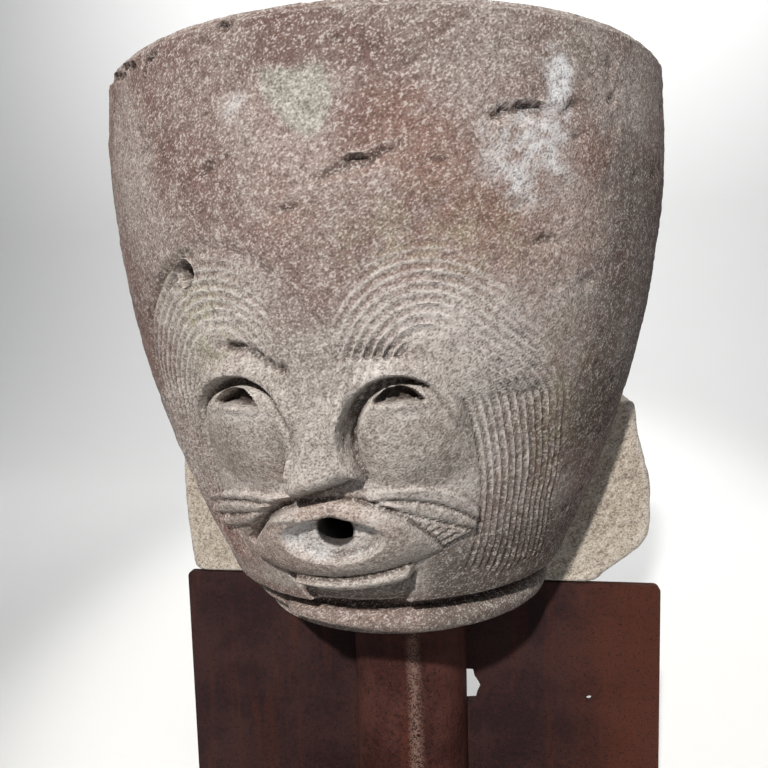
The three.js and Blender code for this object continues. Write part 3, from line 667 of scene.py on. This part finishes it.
def head_stone():
    """The head's closed skin, weathered inwards along its normals."""
    grid, low_pole, top_pole = head_grid()
    s, z = in_stone(grid)
    smoothness = np.maximum(carved_area(s, z), 0.55 * combed_area(s, z))
    level = np.abs(grid_normals(grid)[..., 2]) * (z > STONE_HEIGHT - 2)
    depth = weathering(grid, np.maximum(smoothness, 0.5 * level))
    grid = grid - grid_normals(grid) * depth[..., None] * (z > 0.5)[..., None]
    lift = np.array([0, 0, STONE_BASE])
    return closed_grid("lion_head_skin", grid + lift, low_pole + lift, top_pole + lift)


def rounded_loop(corners, count, passes):
    """A closed polygon walked in equal steps, with its corners eased by averaging neighbours."""
    corner = np.array(corners + [corners[0]], float)
    length = np.concatenate([[0], np.cumsum(np.linalg.norm(np.diff(corner, axis=0), axis=1))])
    at = np.linspace(0, length[-1], count, endpoint=False)
    loop = np.stack([np.interp(at, length, corner[:, a]) for a in range(2)], -1)
    for _ in range(passes):
        loop = 0.5 * loop + 0.25 * (np.roll(loop, 1, axis=0) + np.roll(loop, -1, axis=0))
    return loop


def rough_block(name, loop, pole, low, high, rounding, depth_rows, cap_shares, place):
    """A rough block: an outline carried from low to high, eased at both edges by a quarter circle.

    The caps are the outline drawn in to a pole, and place turns (u, v, depth) into x, y and z.
    """

    def depth_step(d):
        return 1.5 + depth_rows * smooth(0, rounding, np.minimum(d - low, high - d))

    depths = spaced(low, high, depth_step)
    near = clamp(1 - np.minimum(depths - low, high - depths) / rounding)
    inset = rounding * (1 - np.sqrt(1 - near ** 2))
    outward = loop - pole
    scale = 1 - inset[:, None] / np.linalg.norm(outward, axis=1)[None, :]
    sides = pole + outward[None] * scale[..., None]
    first = pole + (sides[0] - pole) * np.asarray(cap_shares)[:, None, None]
    last = pole + (sides[-1] - pole) * np.asarray(cap_shares)[::-1, None, None]
    uv = np.concatenate([first, sides, last])
    level = np.concatenate([np.full(len(cap_shares), low), depths, np.full(len(cap_shares), high)])
    w = np.broadcast_to(level[:, None], uv.shape[:2])
    grid = place(uv[..., 0], uv[..., 1], w)
    normal = grid_normals(grid)
    ends = [place(*np.array([pole[0], pole[1], d])[:, None, None])[0, 0] for d in (low, high)]
    centre = (ends[0] + ends[1]) / 2
    if ((grid - centre) * normal).sum() < 0:
        grid, normal = grid[:, ::-1], -normal[:, ::-1]
    depth = weathering(grid, 0.45) + 1.2 * clouds(grid, 60.0, 2, 71)
    grid = grid - normal * (depth * smooth(-1.0, 14.0, grid[..., 2]))[..., None]
    lift = np.array([0, 0, STONE_BASE])
    return closed_grid(name, grid + lift, ends[0] + lift, ends[1] + lift)


def slab_block():
    """The slab: its outline in x and z, carried back from the plane y = 0."""
    loop = rounded_loop(SLAB_OUTLINE, 210, 2)
    shares = np.concatenate([[0.25, 0.45], np.linspace(0.58, 0.985, 15)])
    return rough_block("slab_skin", loop, np.array([0.0, 92.0]), 0.0, SLAB_THICKNESS, 7.0, 6.0, shares,
                       lambda u, v, w: np.stack([u, w, v], -1))


def tail_block():
    """The sloping break: its outline in y and z, carried across between the two flanks."""
    loop = rounded_loop(TAIL_OUTLINE, 96, 4)
    shares = np.linspace(0.15, 0.95, 7)
    return rough_block("tail_skin", loop, np.array([45.0, 150.0]), HEAD_X - TAIL_HALF_WIDTH,
                       HEAD_X + TAIL_HALF_WIDTH, 34.0, 6.5, shares, lambda u, v, w: np.stack([w, u, v], -1))


def bar_tool(name, x, z, radius, y, roughness):
    """A round bar along y, to cut a hole with; its wall wanders inwards by up to the roughness."""
    turn = np.linspace(0, 2 * np.pi, 48, endpoint=False)
    around = np.stack([np.sin(turn), 0 * turn, np.cos(turn)], -1)
    axis = np.stack([x + 0 * y, y, z + 0 * y], -1)
    grid = axis[:, None] + radius * around[None]
    grid = grid - roughness * clouds(grid, 9.0, 2, 81)[..., None] * around[None]
    return closed_grid(name, grid, axis[0], axis[-1])


def bore_tool():
    """The bore's bar, from in front of the lips to behind the slab."""
    y = np.linspace(-300.0, 200.0, 101)
    return bar_tool("bore_tool", BORE_X, BORE_HEIGHT + STONE_BASE, BORE_RADIUS, y, 0.5)


def combine(base, others):
    """Joins or cuts closed skins with the exact boolean and returns the one mesh; the tools are deleted."""
    for other, operation in others:
        step = base.modifiers.new(other.name, "BOOLEAN")
        step.operation = operation
        step.solver = "MANIFOLD"
        step.object = other
    mesh = take_shape(base)
    for other, _ in others:
        bpy.data.objects.remove(other)
    bpy.data.objects.remove(base)
    return mesh


def store(mesh, name, values):
    """Keeps one number for each vertex as a named attribute of the mesh."""
    layer = mesh.attributes.new(name, "FLOAT", "POINT")
    layer.data.foreach_set("value", np.asarray(values, np.float32))


def vertex_rows(mesh, name):
    """Each vertex's place or normal, as rows of three numbers."""
    values = np.empty(len(mesh.vertices) * 3)
    mesh.vertices.foreach_get(name, values)
    return values.reshape(-1, 3)


def hollowness(mesh, rounds):
    """How far each vertex lies below its surroundings' average, in millimetres, after several rounds."""
    count = len(mesh.vertices)
    place = vertex_rows(mesh, "co") / MM
    normal = vertex_rows(mesh, "normal")
    edge = np.empty(len(mesh.edges) * 2, np.int64)
    mesh.edges.foreach_get("vertices", edge)
    a, b = edge.reshape(-1, 2).T
    joined = np.bincount(a, minlength=count) + np.bincount(b, minlength=count)
    mean = place.copy()
    for _ in range(rounds):
        total = np.stack([
            np.bincount(a, mean[b, axis], count) + np.bincount(b, mean[a, axis], count) for axis in range(3)
        ], -1)
        mean = 0.4 * mean + 0.6 * total / np.maximum(joined, 1)[:, None]
    return ((mean - place) * normal).sum(1)


def stone_tones(place, s, z, front):
    """Masks from 0 to 1 that the stone's material colours by, from soft-edged areas of s and z; dark holds
    painted shade and pale holds painted highlight besides stone tones.
    """
    side = np.abs(s)
    ragged = 26.0 * (clouds(place, 18.0, 3, 91) - 0.5)
    streak = between(142.0, 160.0, s + 0.4 * ragged, 5.0) * between(384.0, 440.0, z + 0.6 * ragged, 8.0)
    bloom = between(106.0, 154.0, s + 1.5 * ragged, 16.0) * between(348.0, 394.0, z + 1.5 * ragged, 18.0)
    small = spot(s, z - 0.6 * (s + 38.0), -38.0, 411.0, 7.0, 5.0)
    half = 15.0 * smooth(382.0, 412.0, z) + 3.5
    from_middle = np.abs(s - 1.0 + 0.25 * (z - 408.0)) + 0.3 * ragged
    patch = (1 - smooth(half - 3.0, half + 3.5, from_middle)) * between(386.0, 429.0, z + 0.3 * ragged, 3.0)

    row = mane_row(s, z)
    wave = 0.5 - 0.5 * np.cos(2 * np.pi * mane_phase(s, z))
    combed = mane_ends(s, z) * smooth(2.0, 3.0, row) * (1 - smooth(9.0, 12.0, row)) * smooth(180.0, 215.0, z)
    beside = smooth(0.0, 1.0, row) * (1 - smooth(6.0, 8.0, row)) * smooth(110.0, 150.0, z) * (z <= 225.0)
    ridge = wave ** 4 * np.maximum(combed, beside * (s > 0)) * (0.55 + 0.9 * clouds(place, 9.0, 2, 95))

    recess = (1 - smooth(0.85, 1.05, mouth_oval(s, z))) * (1 - 0.45 * bell(s / 11.0) * (z < 100.0))
    pale = np.maximum.reduce([
        spot(s, z, 74.0, 262.0, 58.0, 34.0),
        0.9 * spot(s, z, -76.0, 264.0, 44.0, 28.0),
        0.25 * spot(s, z + 0.3 * ragged, 0.0, 300.0, 70.0, 34.0),
        # Painted highlight: the brow bands and the lower lids under the slits
        0.9 * np.maximum(spot(s, z, 42.0, 232.0, 34.0, 8.0), spot(s, z, -60.0, 238.0, 30.0, 7.0)),
        np.maximum(spot(s, z, 52.0, 204.0, 17.0, 5.0), spot(s, z, -62.0, 201.0, 19.0, 5.0)),
        0.6 * spot(s, z, -3.0, 165.0, 24.0, 16.0),
        1.2 * recess,
        0.6 * between(26.0, 118.0, side, 6.0) * between(118.0, 150.0, z, 5.0),
    ])
    left_mane = spot(s, z, -84.0, 268.0, 36.0, 32.0)
    right_mane = 0.8 * spot(s, z, 178.0, 190.0, 34.0, 60.0)
    above_right = 0.6 * spot(s, z, 75.0, 318.0, 60.0, 26.0)
    # Painted shade for the dark mask: the right flank and right jaw that turn from the key light, the hacked
    # cut at the left brow and the hollow under the chin; with a darker stain at the upper left rim and a
    # darker spot over the bridge
    flank_shade = smooth(165.0, 225.0, s) * (1 - smooth(360.0, 430.0, z)) * smooth(120.0, 200.0, z)
    jaw_shade = smooth(66.0, 96.0, s) * (1 - smooth(70.0, 120.0, z))
    jaw_shade = jaw_shade + 0.45 * smooth(120.0, 150.0, s) * (1 - smooth(190.0, 240.0, z))
    rim_stain = 0.6 * smooth(408.0, 440.0, z + 0.5 * ragged) * smooth(-120.0, -20.0, s)
    left_brow_shade = bell((z - brow_edge(s) - 2.5) / 3.0) * between(18.0, 64.0, side, 4.0) * (s < 0)
    left_brow_shade = left_brow_shade * smooth(0.3, 0.6, clouds(place, 6.0, 2, 97))
    bridge = 0.4 * spot(s, z, 0.0, 246.0, 26.0, 30.0)
    dark = 0.8 * flank_shade + jaw_shade + 0.5 * rim_stain + left_brow_shade + 0.5 * chin_hollow(s, z) + bridge

    in_bore = 1 - smooth(14.2, 15.6, np.hypot(place[..., 0] - BORE_X, z - BORE_HEIGHT))
    slits = [smooth(-0.3, 1.5, eye_slit(s, z, eye)[0]) for eye in (RIGHT_EYE, LEFT_EYE)]
    hole = 1 - smooth(0.8, 1.05, drilled_hole(s, z))
    return {
        "dressed": carved_area(s, z) * front * smooth(LOW_HEIGHT, LOW_HEIGHT + 14.0, z),
        "ring": (1 - smooth(LOW_HEIGHT - 3.0, LOW_HEIGHT + 10.0, z)) * front,
        "lime": clamp(np.maximum.reduce([streak, 0.9 * bloom, 0.5 * small, 0.55 * recess])) * front,
        "patch": patch * front,
        "ridge": clamp(ridge) * front,
        "pale": clamp(pale, 0, 1.2) * front,
        "moss": clamp(left_mane + right_mane + above_right) * front,
        "dark": clamp(dark) * front,
        "shadow": clamp(np.maximum.reduce([*slits, hole, in_bore]) * (front | (in_bore > 0))),
        "slab": 1.0 * ~front,
    }


def lion_stone():
    """The whole stone as one closed skin: head, slab and break joined, the bore cut, and its tones stored."""
    tools = [(slab_block(), "UNION"), (tail_block(), "UNION"), (bore_tool(), "DIFFERENCE")]
    skin = combine(head_stone(), tools)
    skin.name = "lion_stone_skin"
    place = vertex_rows(skin, "co") / MM - [0, 0, STONE_BASE]
    s, z = in_stone(place)
    front = place[:, 1] < FRONT_LIMIT
    for name, values in stone_tones(place, s, z, front).items():
        store(skin, name, values)
    store(skin, "hollow", hollowness(skin, 5))
    shade_smooth(skin, 62.0)
    return place_object("lion_stone_carved", skin)


def tone(red, green, blue):
    """A colour given by its screen values from 0 to 255, as the linear values that a shader takes."""
    value = np.array([red, green, blue]) / 255.0
    linear = np.where(value <= 0.04045, value / 12.92, ((value + 0.055) / 1.055) ** 2.4)
    return (*linear.tolist(), 1.0)


class Nodes:
    """Short calls for building a node tree: add a node, mix colours and shape values."""

    def __init__(self, tree):
        self.tree = tree

    def add(self, kind, **settings):
        node = self.tree.nodes.new(kind)
        for key, value in settings.items():
            setattr(node, key, value)
        return node

    def link(self, source, target):
        self.tree.links.new(source, target)

    def feed(self, socket, value):
        if hasattr(value, "is_output"):
            self.link(value, socket)
        else:
            socket.default_value = value

    def noise(self, coordinates, scale, detail=3.0, roughness=0.55, distortion=0.0):
        node = self.add("ShaderNodeTexNoise")
        self.link(coordinates, node.inputs["Vector"])
        values = {"Scale": scale, "Detail": detail, "Roughness": roughness, "Distortion": distortion}
        for name, value in values.items():
            node.inputs[name].default_value = value
        return node.outputs["Fac"]

    def ramp(self, value, low, high, to_low=0.0, to_high=1.0):
        node = self.add("ShaderNodeMapRange", interpolation_type="SMOOTHSTEP")
        values = {"Value": value, "From Min": low, "From Max": high, "To Min": to_low, "To Max": to_high}
        for name, number in values.items():
            self.feed(node.inputs[name], number)
        return node.outputs["Result"]

    def math(self, operation, first, second=0.0):
        node = self.add("ShaderNodeMath", operation=operation)
        self.feed(node.inputs[0], first)
        self.feed(node.inputs[1], second)
        return node.outputs[0]

    def times(self, first, second):
        return self.math("MULTIPLY", first, second)

    def mix(self, share, first, second):
        node = self.add("ShaderNodeMix", data_type="RGBA")
        self.feed(node.inputs["Factor"], share)
        self.feed(node.inputs["A"], first)
        self.feed(node.inputs["B"], second)
        return node.outputs["Result"]

    def stain(self, colour, value, low, high, share, tint):
        """Mixes in a tint by the value's way from low to high, up to a share."""
        return self.mix(self.ramp(value, low, high, 0.0, share), colour, tint)

    def area(self, colour, mask, share, tint):
        """Mixes in a tint by a mask, which is a socket or the name of an attribute, times a share."""
        mask = self.attribute(mask) if isinstance(mask, str) else mask
        return self.mix(self.times(mask, share), colour, tint)

    def attribute(self, name):
        return self.add("ShaderNodeAttribute", attribute_name=name).outputs["Fac"]

    def bump(self, height, strength, distance, normal=None):
        node = self.add("ShaderNodeBump")
        node.inputs["Strength"].default_value = strength
        node.inputs["Distance"].default_value = distance
        self.link(height, node.inputs["Height"])
        if normal is not None:
            self.link(normal, node.inputs["Normal"])
        return node.outputs["Normal"]


def speckle_group():
    """Shared effect: fine grains of two sizes, given out as one value round a half."""
    tree = bpy.data.node_groups.new("fine_speckle", "ShaderNodeTree")
    tree.interface.new_socket("Vector", in_out="INPUT", socket_type="NodeSocketVector")
    tree.interface.new_socket("Grain Scale", in_out="INPUT", socket_type="NodeSocketFloat")
    tree.interface.new_socket("Value", in_out="OUTPUT", socket_type="NodeSocketFloat")
    n = Nodes(tree)
    source = n.add("NodeGroupInput")
    result = n.add("NodeGroupOutput")
    fine = n.add("ShaderNodeTexNoise")
    wide = n.add("ShaderNodeTexNoise")
    for node, detail in ((fine, 2.0), (wide, 3.0)):
        n.link(source.outputs["Vector"], node.inputs["Vector"])
        node.inputs["Detail"].default_value = detail
    n.link(source.outputs["Grain Scale"], fine.inputs["Scale"])
    n.link(n.times(source.outputs["Grain Scale"], 0.36), wide.inputs["Scale"])
    fine_part = n.times(fine.outputs["Fac"], 0.65)
    wide_part = n.times(wide.outputs["Fac"], 0.35)
    both = n.math("ADD", fine_part, wide_part)
    n.link(both, result.inputs["Value"])
    return tree


SPECKLE = speckle_group()


def place_speckle(n, coordinates, scale):
    """The shared speckle placed in a material, with its own grain scale."""
    node = n.add("ShaderNodeGroup", node_tree=SPECKLE)
    n.link(coordinates, node.inputs["Vector"])
    node.inputs["Grain Scale"].default_value = scale
    return node.outputs["Value"]


def new_material(name, roughness, specular, metallic=0.0):
    """A material with one Principled shader whose constants are set on its own sockets."""
    material = bpy.data.materials.new(name)
    material.use_nodes = True
    n = Nodes(material.node_tree)
    shader = material.node_tree.nodes["Principled BSDF"]
    shader.inputs["Roughness"].default_value = roughness
    shader.inputs["Specular IOR Level"].default_value = specular
    shader.inputs["Metallic"].default_value = metallic
    coordinates = n.add("ShaderNodeTexCoord").outputs["Object"]
    return material, n, shader, coordinates


def sandstone():
    """Weathered sandstone: mottled reddish grey, pale and rusty clouds, slanting grain, dirt and lime."""
    material, n, shader, at = new_material("sandstone_weathered", 0.95, 0.12)
    slanted = n.add("ShaderNodeMapping", vector_type="TEXTURE")
    n.link(at, slanted.inputs["Vector"])
    slanted.inputs["Rotation"].default_value = (0.0, math.radians(-35.0), 0.0)
    slanted.inputs["Scale"].default_value = (1.35, 1.0, 1.0)
    along = slanted.outputs["Vector"]
    cloud_large = n.noise(at, 9.0, 4.0, 0.6)
    cloud_middle = n.noise(along, 42.0, 5.0, 0.66, 0.4)
    cloud_small = n.noise(along, 300.0, 3.0, 0.7)
    grain = place_speckle(n, along, 720.0)
    hollow = n.attribute("hollow")
    dressed = n.mix(n.ramp(cloud_middle, 0.35, 0.65), tone(152, 144, 136), tone(174, 167, 160))
    pale = n.times(n.attribute("pale"), n.ramp(cloud_middle, 0.3, 0.6, 0.4, 0.8))
    moss = n.times(n.attribute("moss"), n.ramp(n.noise(at, 60.0, 4.0, 0.6), 0.35, 0.65))
    lime = n.times(n.attribute("lime"), n.ramp(cloud_middle, 0.36, 0.60))

    colour = n.mix(n.ramp(cloud_large, 0.36, 0.64), tone(119, 96, 90), tone(154, 142, 136))
    colour = n.stain(colour, cloud_middle, 0.50, 0.70, 0.5, tone(170, 161, 157))
    colour = n.stain(colour, cloud_middle, 0.46, 0.30, 0.5, tone(108, 84, 78))
    colour = n.area(colour, "dressed", 0.85, dressed)
    colour = n.stain(colour, n.noise(at, 5.5, 2.0, 0.5), 0.52, 0.68, 0.3, tone(158, 120, 104))
    colour = n.area(colour, "slab", 0.65, tone(190, 180, 162))
    # pale: lighter stone tone, with painted highlight on the brow bands and the lower lids
    colour = n.mix(pale, colour, tone(196, 189, 184))
    for mask, share, tint in (
        (moss, 0.7, tone(152, 149, 116)),
        ("patch", 0.85, tone(158, 156, 146)),
        ("ring", 0.75, tone(118, 98, 88)),
        # dark: painted shade on the right flank, right jaw, left brow cut and under the chin, with a darker
        # rim stain and bridge spot
        ("dark", 0.72, tone(76, 66, 58)),
    ):
        colour = n.area(colour, mask, share, tint)
    # Painted shade: darker in hollows, pits and grooves; the next line makes raised points lighter
    colour = n.stain(colour, hollow, 0.25, 1.4, 0.65, tone(66, 54, 47))
    colour = n.stain(colour, hollow, -0.2, -0.9, 0.3, tone(200, 193, 186))
    colour = n.area(colour, "ridge", 0.6, tone(216, 211, 206))
    colour = n.area(colour, lime, 0.95, tone(214, 215, 217))
    for value, low, high, share, tint in (
        (cloud_small, 0.48, 0.34, 0.22, tone(88, 72, 66)),
        (cloud_small, 0.56, 0.70, 0.20, tone(208, 202, 197)),
        (grain, 0.485, 0.39, 0.58, tone(78, 64, 60)),
        (grain, 0.525, 0.61, 0.42, tone(226, 220, 214)),
    ):
        colour = n.stain(colour, value, low, high, share, tint)
    colour = n.area(colour, "shadow", 0.86, tone(44, 34, 29))
    n.link(colour, shader.inputs["Base Color"])
    normal = n.bump(cloud_small, 0.5, 0.0012)
    normal = n.bump(grain, 0.95, 0.0010, normal)
    n.link(normal, shader.inputs["Normal"])
    return material


def rust(name, dark, light, orange, orange_share, highlight_streak_x=None):
    """Rusted steel: fine two-tone speckle over slow clouds, more orange to one side, with faint runs, and on
    the pipe a painted highlight streak down its front.
    """
    material, n, shader, at = new_material(name, 0.8, 0.15)
    speckle = place_speckle(n, at, 620.0)
    cloud = n.noise(at, 14.0, 4.0, 0.6)
    stretched = n.add("ShaderNodeMapping")
    n.link(at, stretched.inputs["Vector"])
    stretched.inputs["Scale"].default_value = (1.0, 1.0, 0.09)
    runs = n.noise(stretched.outputs["Vector"], 60.0, 4.0, 0.6)
    split = n.add("ShaderNodeSeparateXYZ")
    n.link(at, split.inputs["Vector"])
    to_right = n.math("ADD", split.outputs["X"], n.times(cloud, 0.08))
    colour = n.mix(n.ramp(cloud, 0.38, 0.62), dark, light)
    colour = n.stain(colour, runs, 0.5, 0.72, 0.35, orange)
    colour = n.stain(colour, to_right, 0.17, 0.26, orange_share, orange)
    colour = n.stain(colour, speckle, 0.47, 0.36, 0.75, tone(20, 13, 13))
    colour = n.stain(colour, speckle, 0.53, 0.66, 0.45, orange)
    # Painted highlight: a pale streak down the front of the pipe
    if highlight_streak_x is not None:
        place, half_width = highlight_streak_x
        wander = n.math("SUBTRACT", n.noise(stretched.outputs["Vector"], 22.0, 3.0), 0.5)
        wander = n.math("ADD", split.outputs["X"], n.times(wander, 0.03))
        away = n.math("ABSOLUTE", n.math("SUBTRACT", wander, place))
        streak = n.times(n.ramp(away, half_width, 0.0), n.ramp(speckle, 0.38, 0.6))
        streak = n.times(streak, n.ramp(split.outputs["Y"], -0.01, -0.04))
        colour = n.area(colour, streak, 0.7, tone(140, 116, 104))
    n.link(colour, shader.inputs["Base Color"])
    n.link(n.ramp(speckle, 0.35, 0.65, 0.62, 0.85), shader.inputs["Roughness"])
    normal = n.bump(speckle, 0.55, 0.0009)
    n.link(n.bump(cloud, 0.3, 0.003, normal), shader.inputs["Normal"])
    return material


def ease_edges(thing, width):
    """Merges doubles and flat neighbours of a steel sheet and rounds its edges with a bevel."""
    weld = thing.modifiers.new("merge", "WELD")
    weld.merge_threshold = 0.00002
    flat = thing.modifiers.new("flat", "DECIMATE")
    flat.decimate_type = "DISSOLVE"
    flat.angle_limit = np.radians(2.0)
    edge = thing.modifiers.new("edge", "BEVEL")
    edge.width = width * MM
    edge.segments = 2
    edge.limit_method = "ANGLE"
    edge.angle_limit = np.radians(40.0)
    edge.harden_normals = True
    thing.data = take_shape(thing)
    thing.modifiers.clear()
    return thing


def foot_skin():
    """The foot plate: its solid with rounded edges."""
    mesh = bpy.data.objects["foot_plate"].data.copy()
    mesh.materials.clear()
    return ease_edges(place_object("foot_plate_rusted", mesh), FOOT_EDGE)


# Torn edge of the notch beside the pipe, as x and height, from its top down
NOTCH = [
    (PLATE_INNER, 168), (63.5, 168), (65.2, 161), (68.5, 156), (71.0, 151), (70.0, 146), (67.5, 141),
    (66.0, 135), (PLATE_INNER, 134),
]


def plate_skin(side):
    """A plate beside the pipe: its outline with a rounded upper corner, carried back from y = 0.

    The right one has the notch, and a small hole cut by a bar. The inner edge ends inside the pipe's wall.
    """
    node = "right_plate" if side > 0 else "left_plate"
    low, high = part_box(node)
    reach = (high.x if side > 0 else -low.x) / MM
    bottom, top, back = low.z / MM, high.z / MM, high.y / MM
    turn = np.linspace(0, np.pi / 2, 7)
    corner = [(reach - PLATE_CORNER * (1 - np.cos(a)), top - PLATE_CORNER * (1 - np.sin(a))) for a in turn]
    loop = [(PLATE_INNER, bottom), (reach, bottom), *corner, (PLATE_INNER, top)] + (NOTCH if side > 0 else [])
    loop = np.array(loop)[::side] * [side, 1]
    count = len(loop)
    front = np.stack([loop[:, 0], 0 * loop[:, 0], loop[:, 1]], -1)
    points = np.concatenate([front, front + [0, back, 0]])
    i = np.arange(count)
    j = (i + 1) % count
    sides = np.stack([j, i, i + count, j + count], -1)
    thing = make_mesh(node + "_rusted", points, sides, [i.tolist(), (i[::-1] + count).tolist()])
    if side > 0:
        y = np.linspace(-2.0, back + 2.0, 5)
        bar = bar_tool("small_hole_tool", SMALL_HOLE_X, SMALL_HOLE_HEIGHT, SMALL_HOLE_RADIUS, y, 0.2)
        thing = place_object(node + "_rusted", combine(thing, [(bar, "DIFFERENCE")]))
    return ease_edges(thing, PLATE_EDGE)


def pipe_skin():
    """The pipe: a closed ring section (outer wall, top edge, inner wall, low edge) turned round the axis."""
    low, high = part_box("support_pipe")
    outer = (high.x - low.x) / 2 / MM
    inner = outer - PIPE_WALL
    bottom, top = low.z / MM, high.z / MM
    ease = PIPE_EASE
    heights = np.linspace(bottom + ease, top - ease, 60)
    section = [(inner + ease, bottom), (outer - ease, bottom), *((outer, h) for h in heights)]
    section += [(outer - ease, top), (inner + ease, top), *((inner, h) for h in heights[::-3])]
    section = np.array(section)
    turn = np.linspace(0, 2 * np.pi, 160, endpoint=False)
    grid = np.stack([
        section[:, :1] * np.cos(turn), section[:, :1] * np.sin(turn), section[:, 1:] + 0 * turn[None],
    ], -1)
    flat = np.swapaxes(grid, 0, 1)
    rows, columns = flat.shape[:2]
    quads = grid_faces(rows + 1, columns) % (rows * columns)
    wave = 0.25 * clouds(flat, 30.0, 3, 61) * (np.hypot(flat[..., 0], flat[..., 1]) > outer - 0.5)
    flat = flat * np.stack([1 - wave / outer, 1 - wave / outer, np.ones_like(wave)], -1)
    thing = make_mesh("support_pipe_rusted", flat.reshape(-1, 3), quads)
    shade_smooth(thing.data, 50.0)
    return thing


def point_outwards(thing):
    """Turns the faces of a closed mesh outwards if its signed volume is negative."""
    mesh = thing.data
    mesh.calc_loop_triangles()
    corner = np.empty(len(mesh.loop_triangles) * 3, np.int64)
    mesh.loop_triangles.foreach_get("vertices", corner)
    place = vertex_rows(mesh, "co")
    a, b, c = (place[corner.reshape(-1, 3)[:, i]] for i in range(3))
    if (a * np.cross(b, c)).sum() < 0:
        mesh.flip_normals()
    return thing


def finish_piece(thing, node, material):
    """Gives a new piece its finish, hangs it on the root body and hides the CAD part that it stands for."""
    thing.data.materials.clear()
    thing.data.materials.append(material)
    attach(thing, "root")
    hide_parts(node)


def build_stone():
    """The carved stone in its own material."""
    finish_piece(point_outwards(lion_stone()), "lion_stone", sandstone())


def build_stand():
    """Pipe, the two plates and the foot plate: the pipe in one tone of rust, the plates and the foot in
    another.
    """
    # Painted highlight streak down the pipe's front: its place and half width in metres
    highlight_place, highlight_half_width = 0.012, 0.011
    pipe_rust = rust("rusted_pipe_skin", tone(56, 31, 28), tone(82, 50, 44), tone(98, 50, 38), 0.0,
                     (highlight_place, highlight_half_width))
    plate_rust = rust("rusted_plate_skin", tone(42, 27, 28), tone(56, 37, 36), tone(84, 44, 30), 0.65)
    finish_piece(point_outwards(pipe_skin()), "support_pipe", pipe_rust)
    finish_piece(point_outwards(plate_skin(-1)), "left_plate", plate_rust)
    finish_piece(point_outwards(plate_skin(1)), "right_plate", plate_rust)
    finish_piece(foot_skin(), "foot_plate", plate_rust)


def build_stage():
    """A plain pale floor that sweeps up behind the object: a level run, a quarter circle and a wall."""
    radius, wall, front, rise, half_width = 900.0, 2300.0, -2600.0, 2600.0, 3200.0
    turn = np.linspace(0, np.pi / 2, 25)
    y = np.concatenate([[front], wall - radius + radius * np.sin(turn), [wall]])
    z = np.concatenate([[0.0], radius - radius * np.cos(turn), [rise]])
    x = np.array([-half_width, half_width])
    points = np.stack([np.repeat(x, len(y)), np.tile(y, 2), np.tile(z, 2)], -1)
    i = np.arange(len(y) - 1)
    quads = np.stack([i, i + len(y), i + len(y) + 1, i + 1], -1)
    thing = make_mesh("pale_sweep", points, quads)
    shade_smooth(thing.data, 180.0)
    material, _, shader, _ = new_material("pale_paper", 0.9, 0.1)
    shader.inputs["Base Color"].default_value = (0.80, 0.80, 0.79, 1.0)
    thing.data.materials.append(material)


def aim(thing, place, target):
    """Puts a light at a place and turns it to look at a target."""
    thing.location = place
    thing.rotation_euler = (Vector(target) - Vector(place)).to_track_quat("-Z", "Y").to_euler()


def add_light(name, kind, energy, place, target, **settings):
    """One studio light."""
    data = bpy.data.lights.new(name, kind)
    data.energy = energy
    for key, value in settings.items():
        setattr(data, key, value)
    aim(place_object(name, data), place, target)


def build_light():
    """A key from the upper left front, a weak broad fill and a light for the backdrop."""
    direction = Vector((
        math.sin(KEY_AZIMUTH) * math.cos(KEY_HEIGHT),
        -math.cos(KEY_AZIMUTH) * math.cos(KEY_HEIGHT),
        math.sin(KEY_HEIGHT),
    ))
    key_place = KEY_TARGET + KEY_DISTANCE * direction
    add_light("key", "SPOT", KEY_POWER, key_place, KEY_TARGET, spot_size=np.radians(25.0), spot_blend=0.6,
              shadow_soft_size=0.07, color=(1.0, 0.97, 0.93))
    add_light("fill", "AREA", FILL_POWER, (1.6, -2.2, 1.6), KEY_TARGET, shape="SQUARE", size=1.8,
              color=(0.88, 0.93, 1.0))
    add_light("backdrop", "AREA", BACKDROP_POWER, (0.0, 0.9, 2.4), (0.0, 2.3, 0.7), shape="RECTANGLE",
              size=3.0, size_y=0.5)
    world = bpy.data.worlds.new("pale_room")
    world.use_nodes = True
    world.node_tree.nodes["Background"].inputs["Color"].default_value = (0.90, 0.94, 1.0, 1.0)
    world.node_tree.nodes["Background"].inputs["Strength"].default_value = ROOM_STRENGTH
    bpy.context.scene.world = world


def build_camera():
    """Camera at the photograph's angle: yaw, pitch and roll give its three axes."""
    yaw, pitch, roll = CAMERA_YAW, CAMERA_PITCH, CAMERA_ROLL
    ahead = Vector((-math.sin(yaw) * math.cos(pitch), math.cos(yaw) * math.cos(pitch), -math.sin(pitch)))
    level = Vector((math.cos(yaw), math.sin(yaw), 0.0))
    down = ahead.cross(level)
    across = math.cos(roll) * level + math.sin(roll) * down
    down = -math.sin(roll) * level + math.cos(roll) * down
    data = bpy.data.cameras.new("photo_camera")
    data.sensor_width = 36.0
    data.lens = 36.0 * FOCAL_SHARE
    data.clip_start = 0.02
    thing = place_object("photo_camera", data)
    thing.matrix_world = Matrix((
        (across.x, -down.x, -ahead.x, CAMERA_PLACE[0]),
        (across.y, -down.y, -ahead.y, CAMERA_PLACE[1]),
        (across.z, -down.z, -ahead.z, CAMERA_PLACE[2]),
        (0.0, 0.0, 0.0, 1.0),
    ))
    bpy.context.scene.camera = thing
    bpy.context.scene.view_settings.view_transform = "Standard"


build_camera()
build_light()
build_stage()
build_stone()
build_stand()
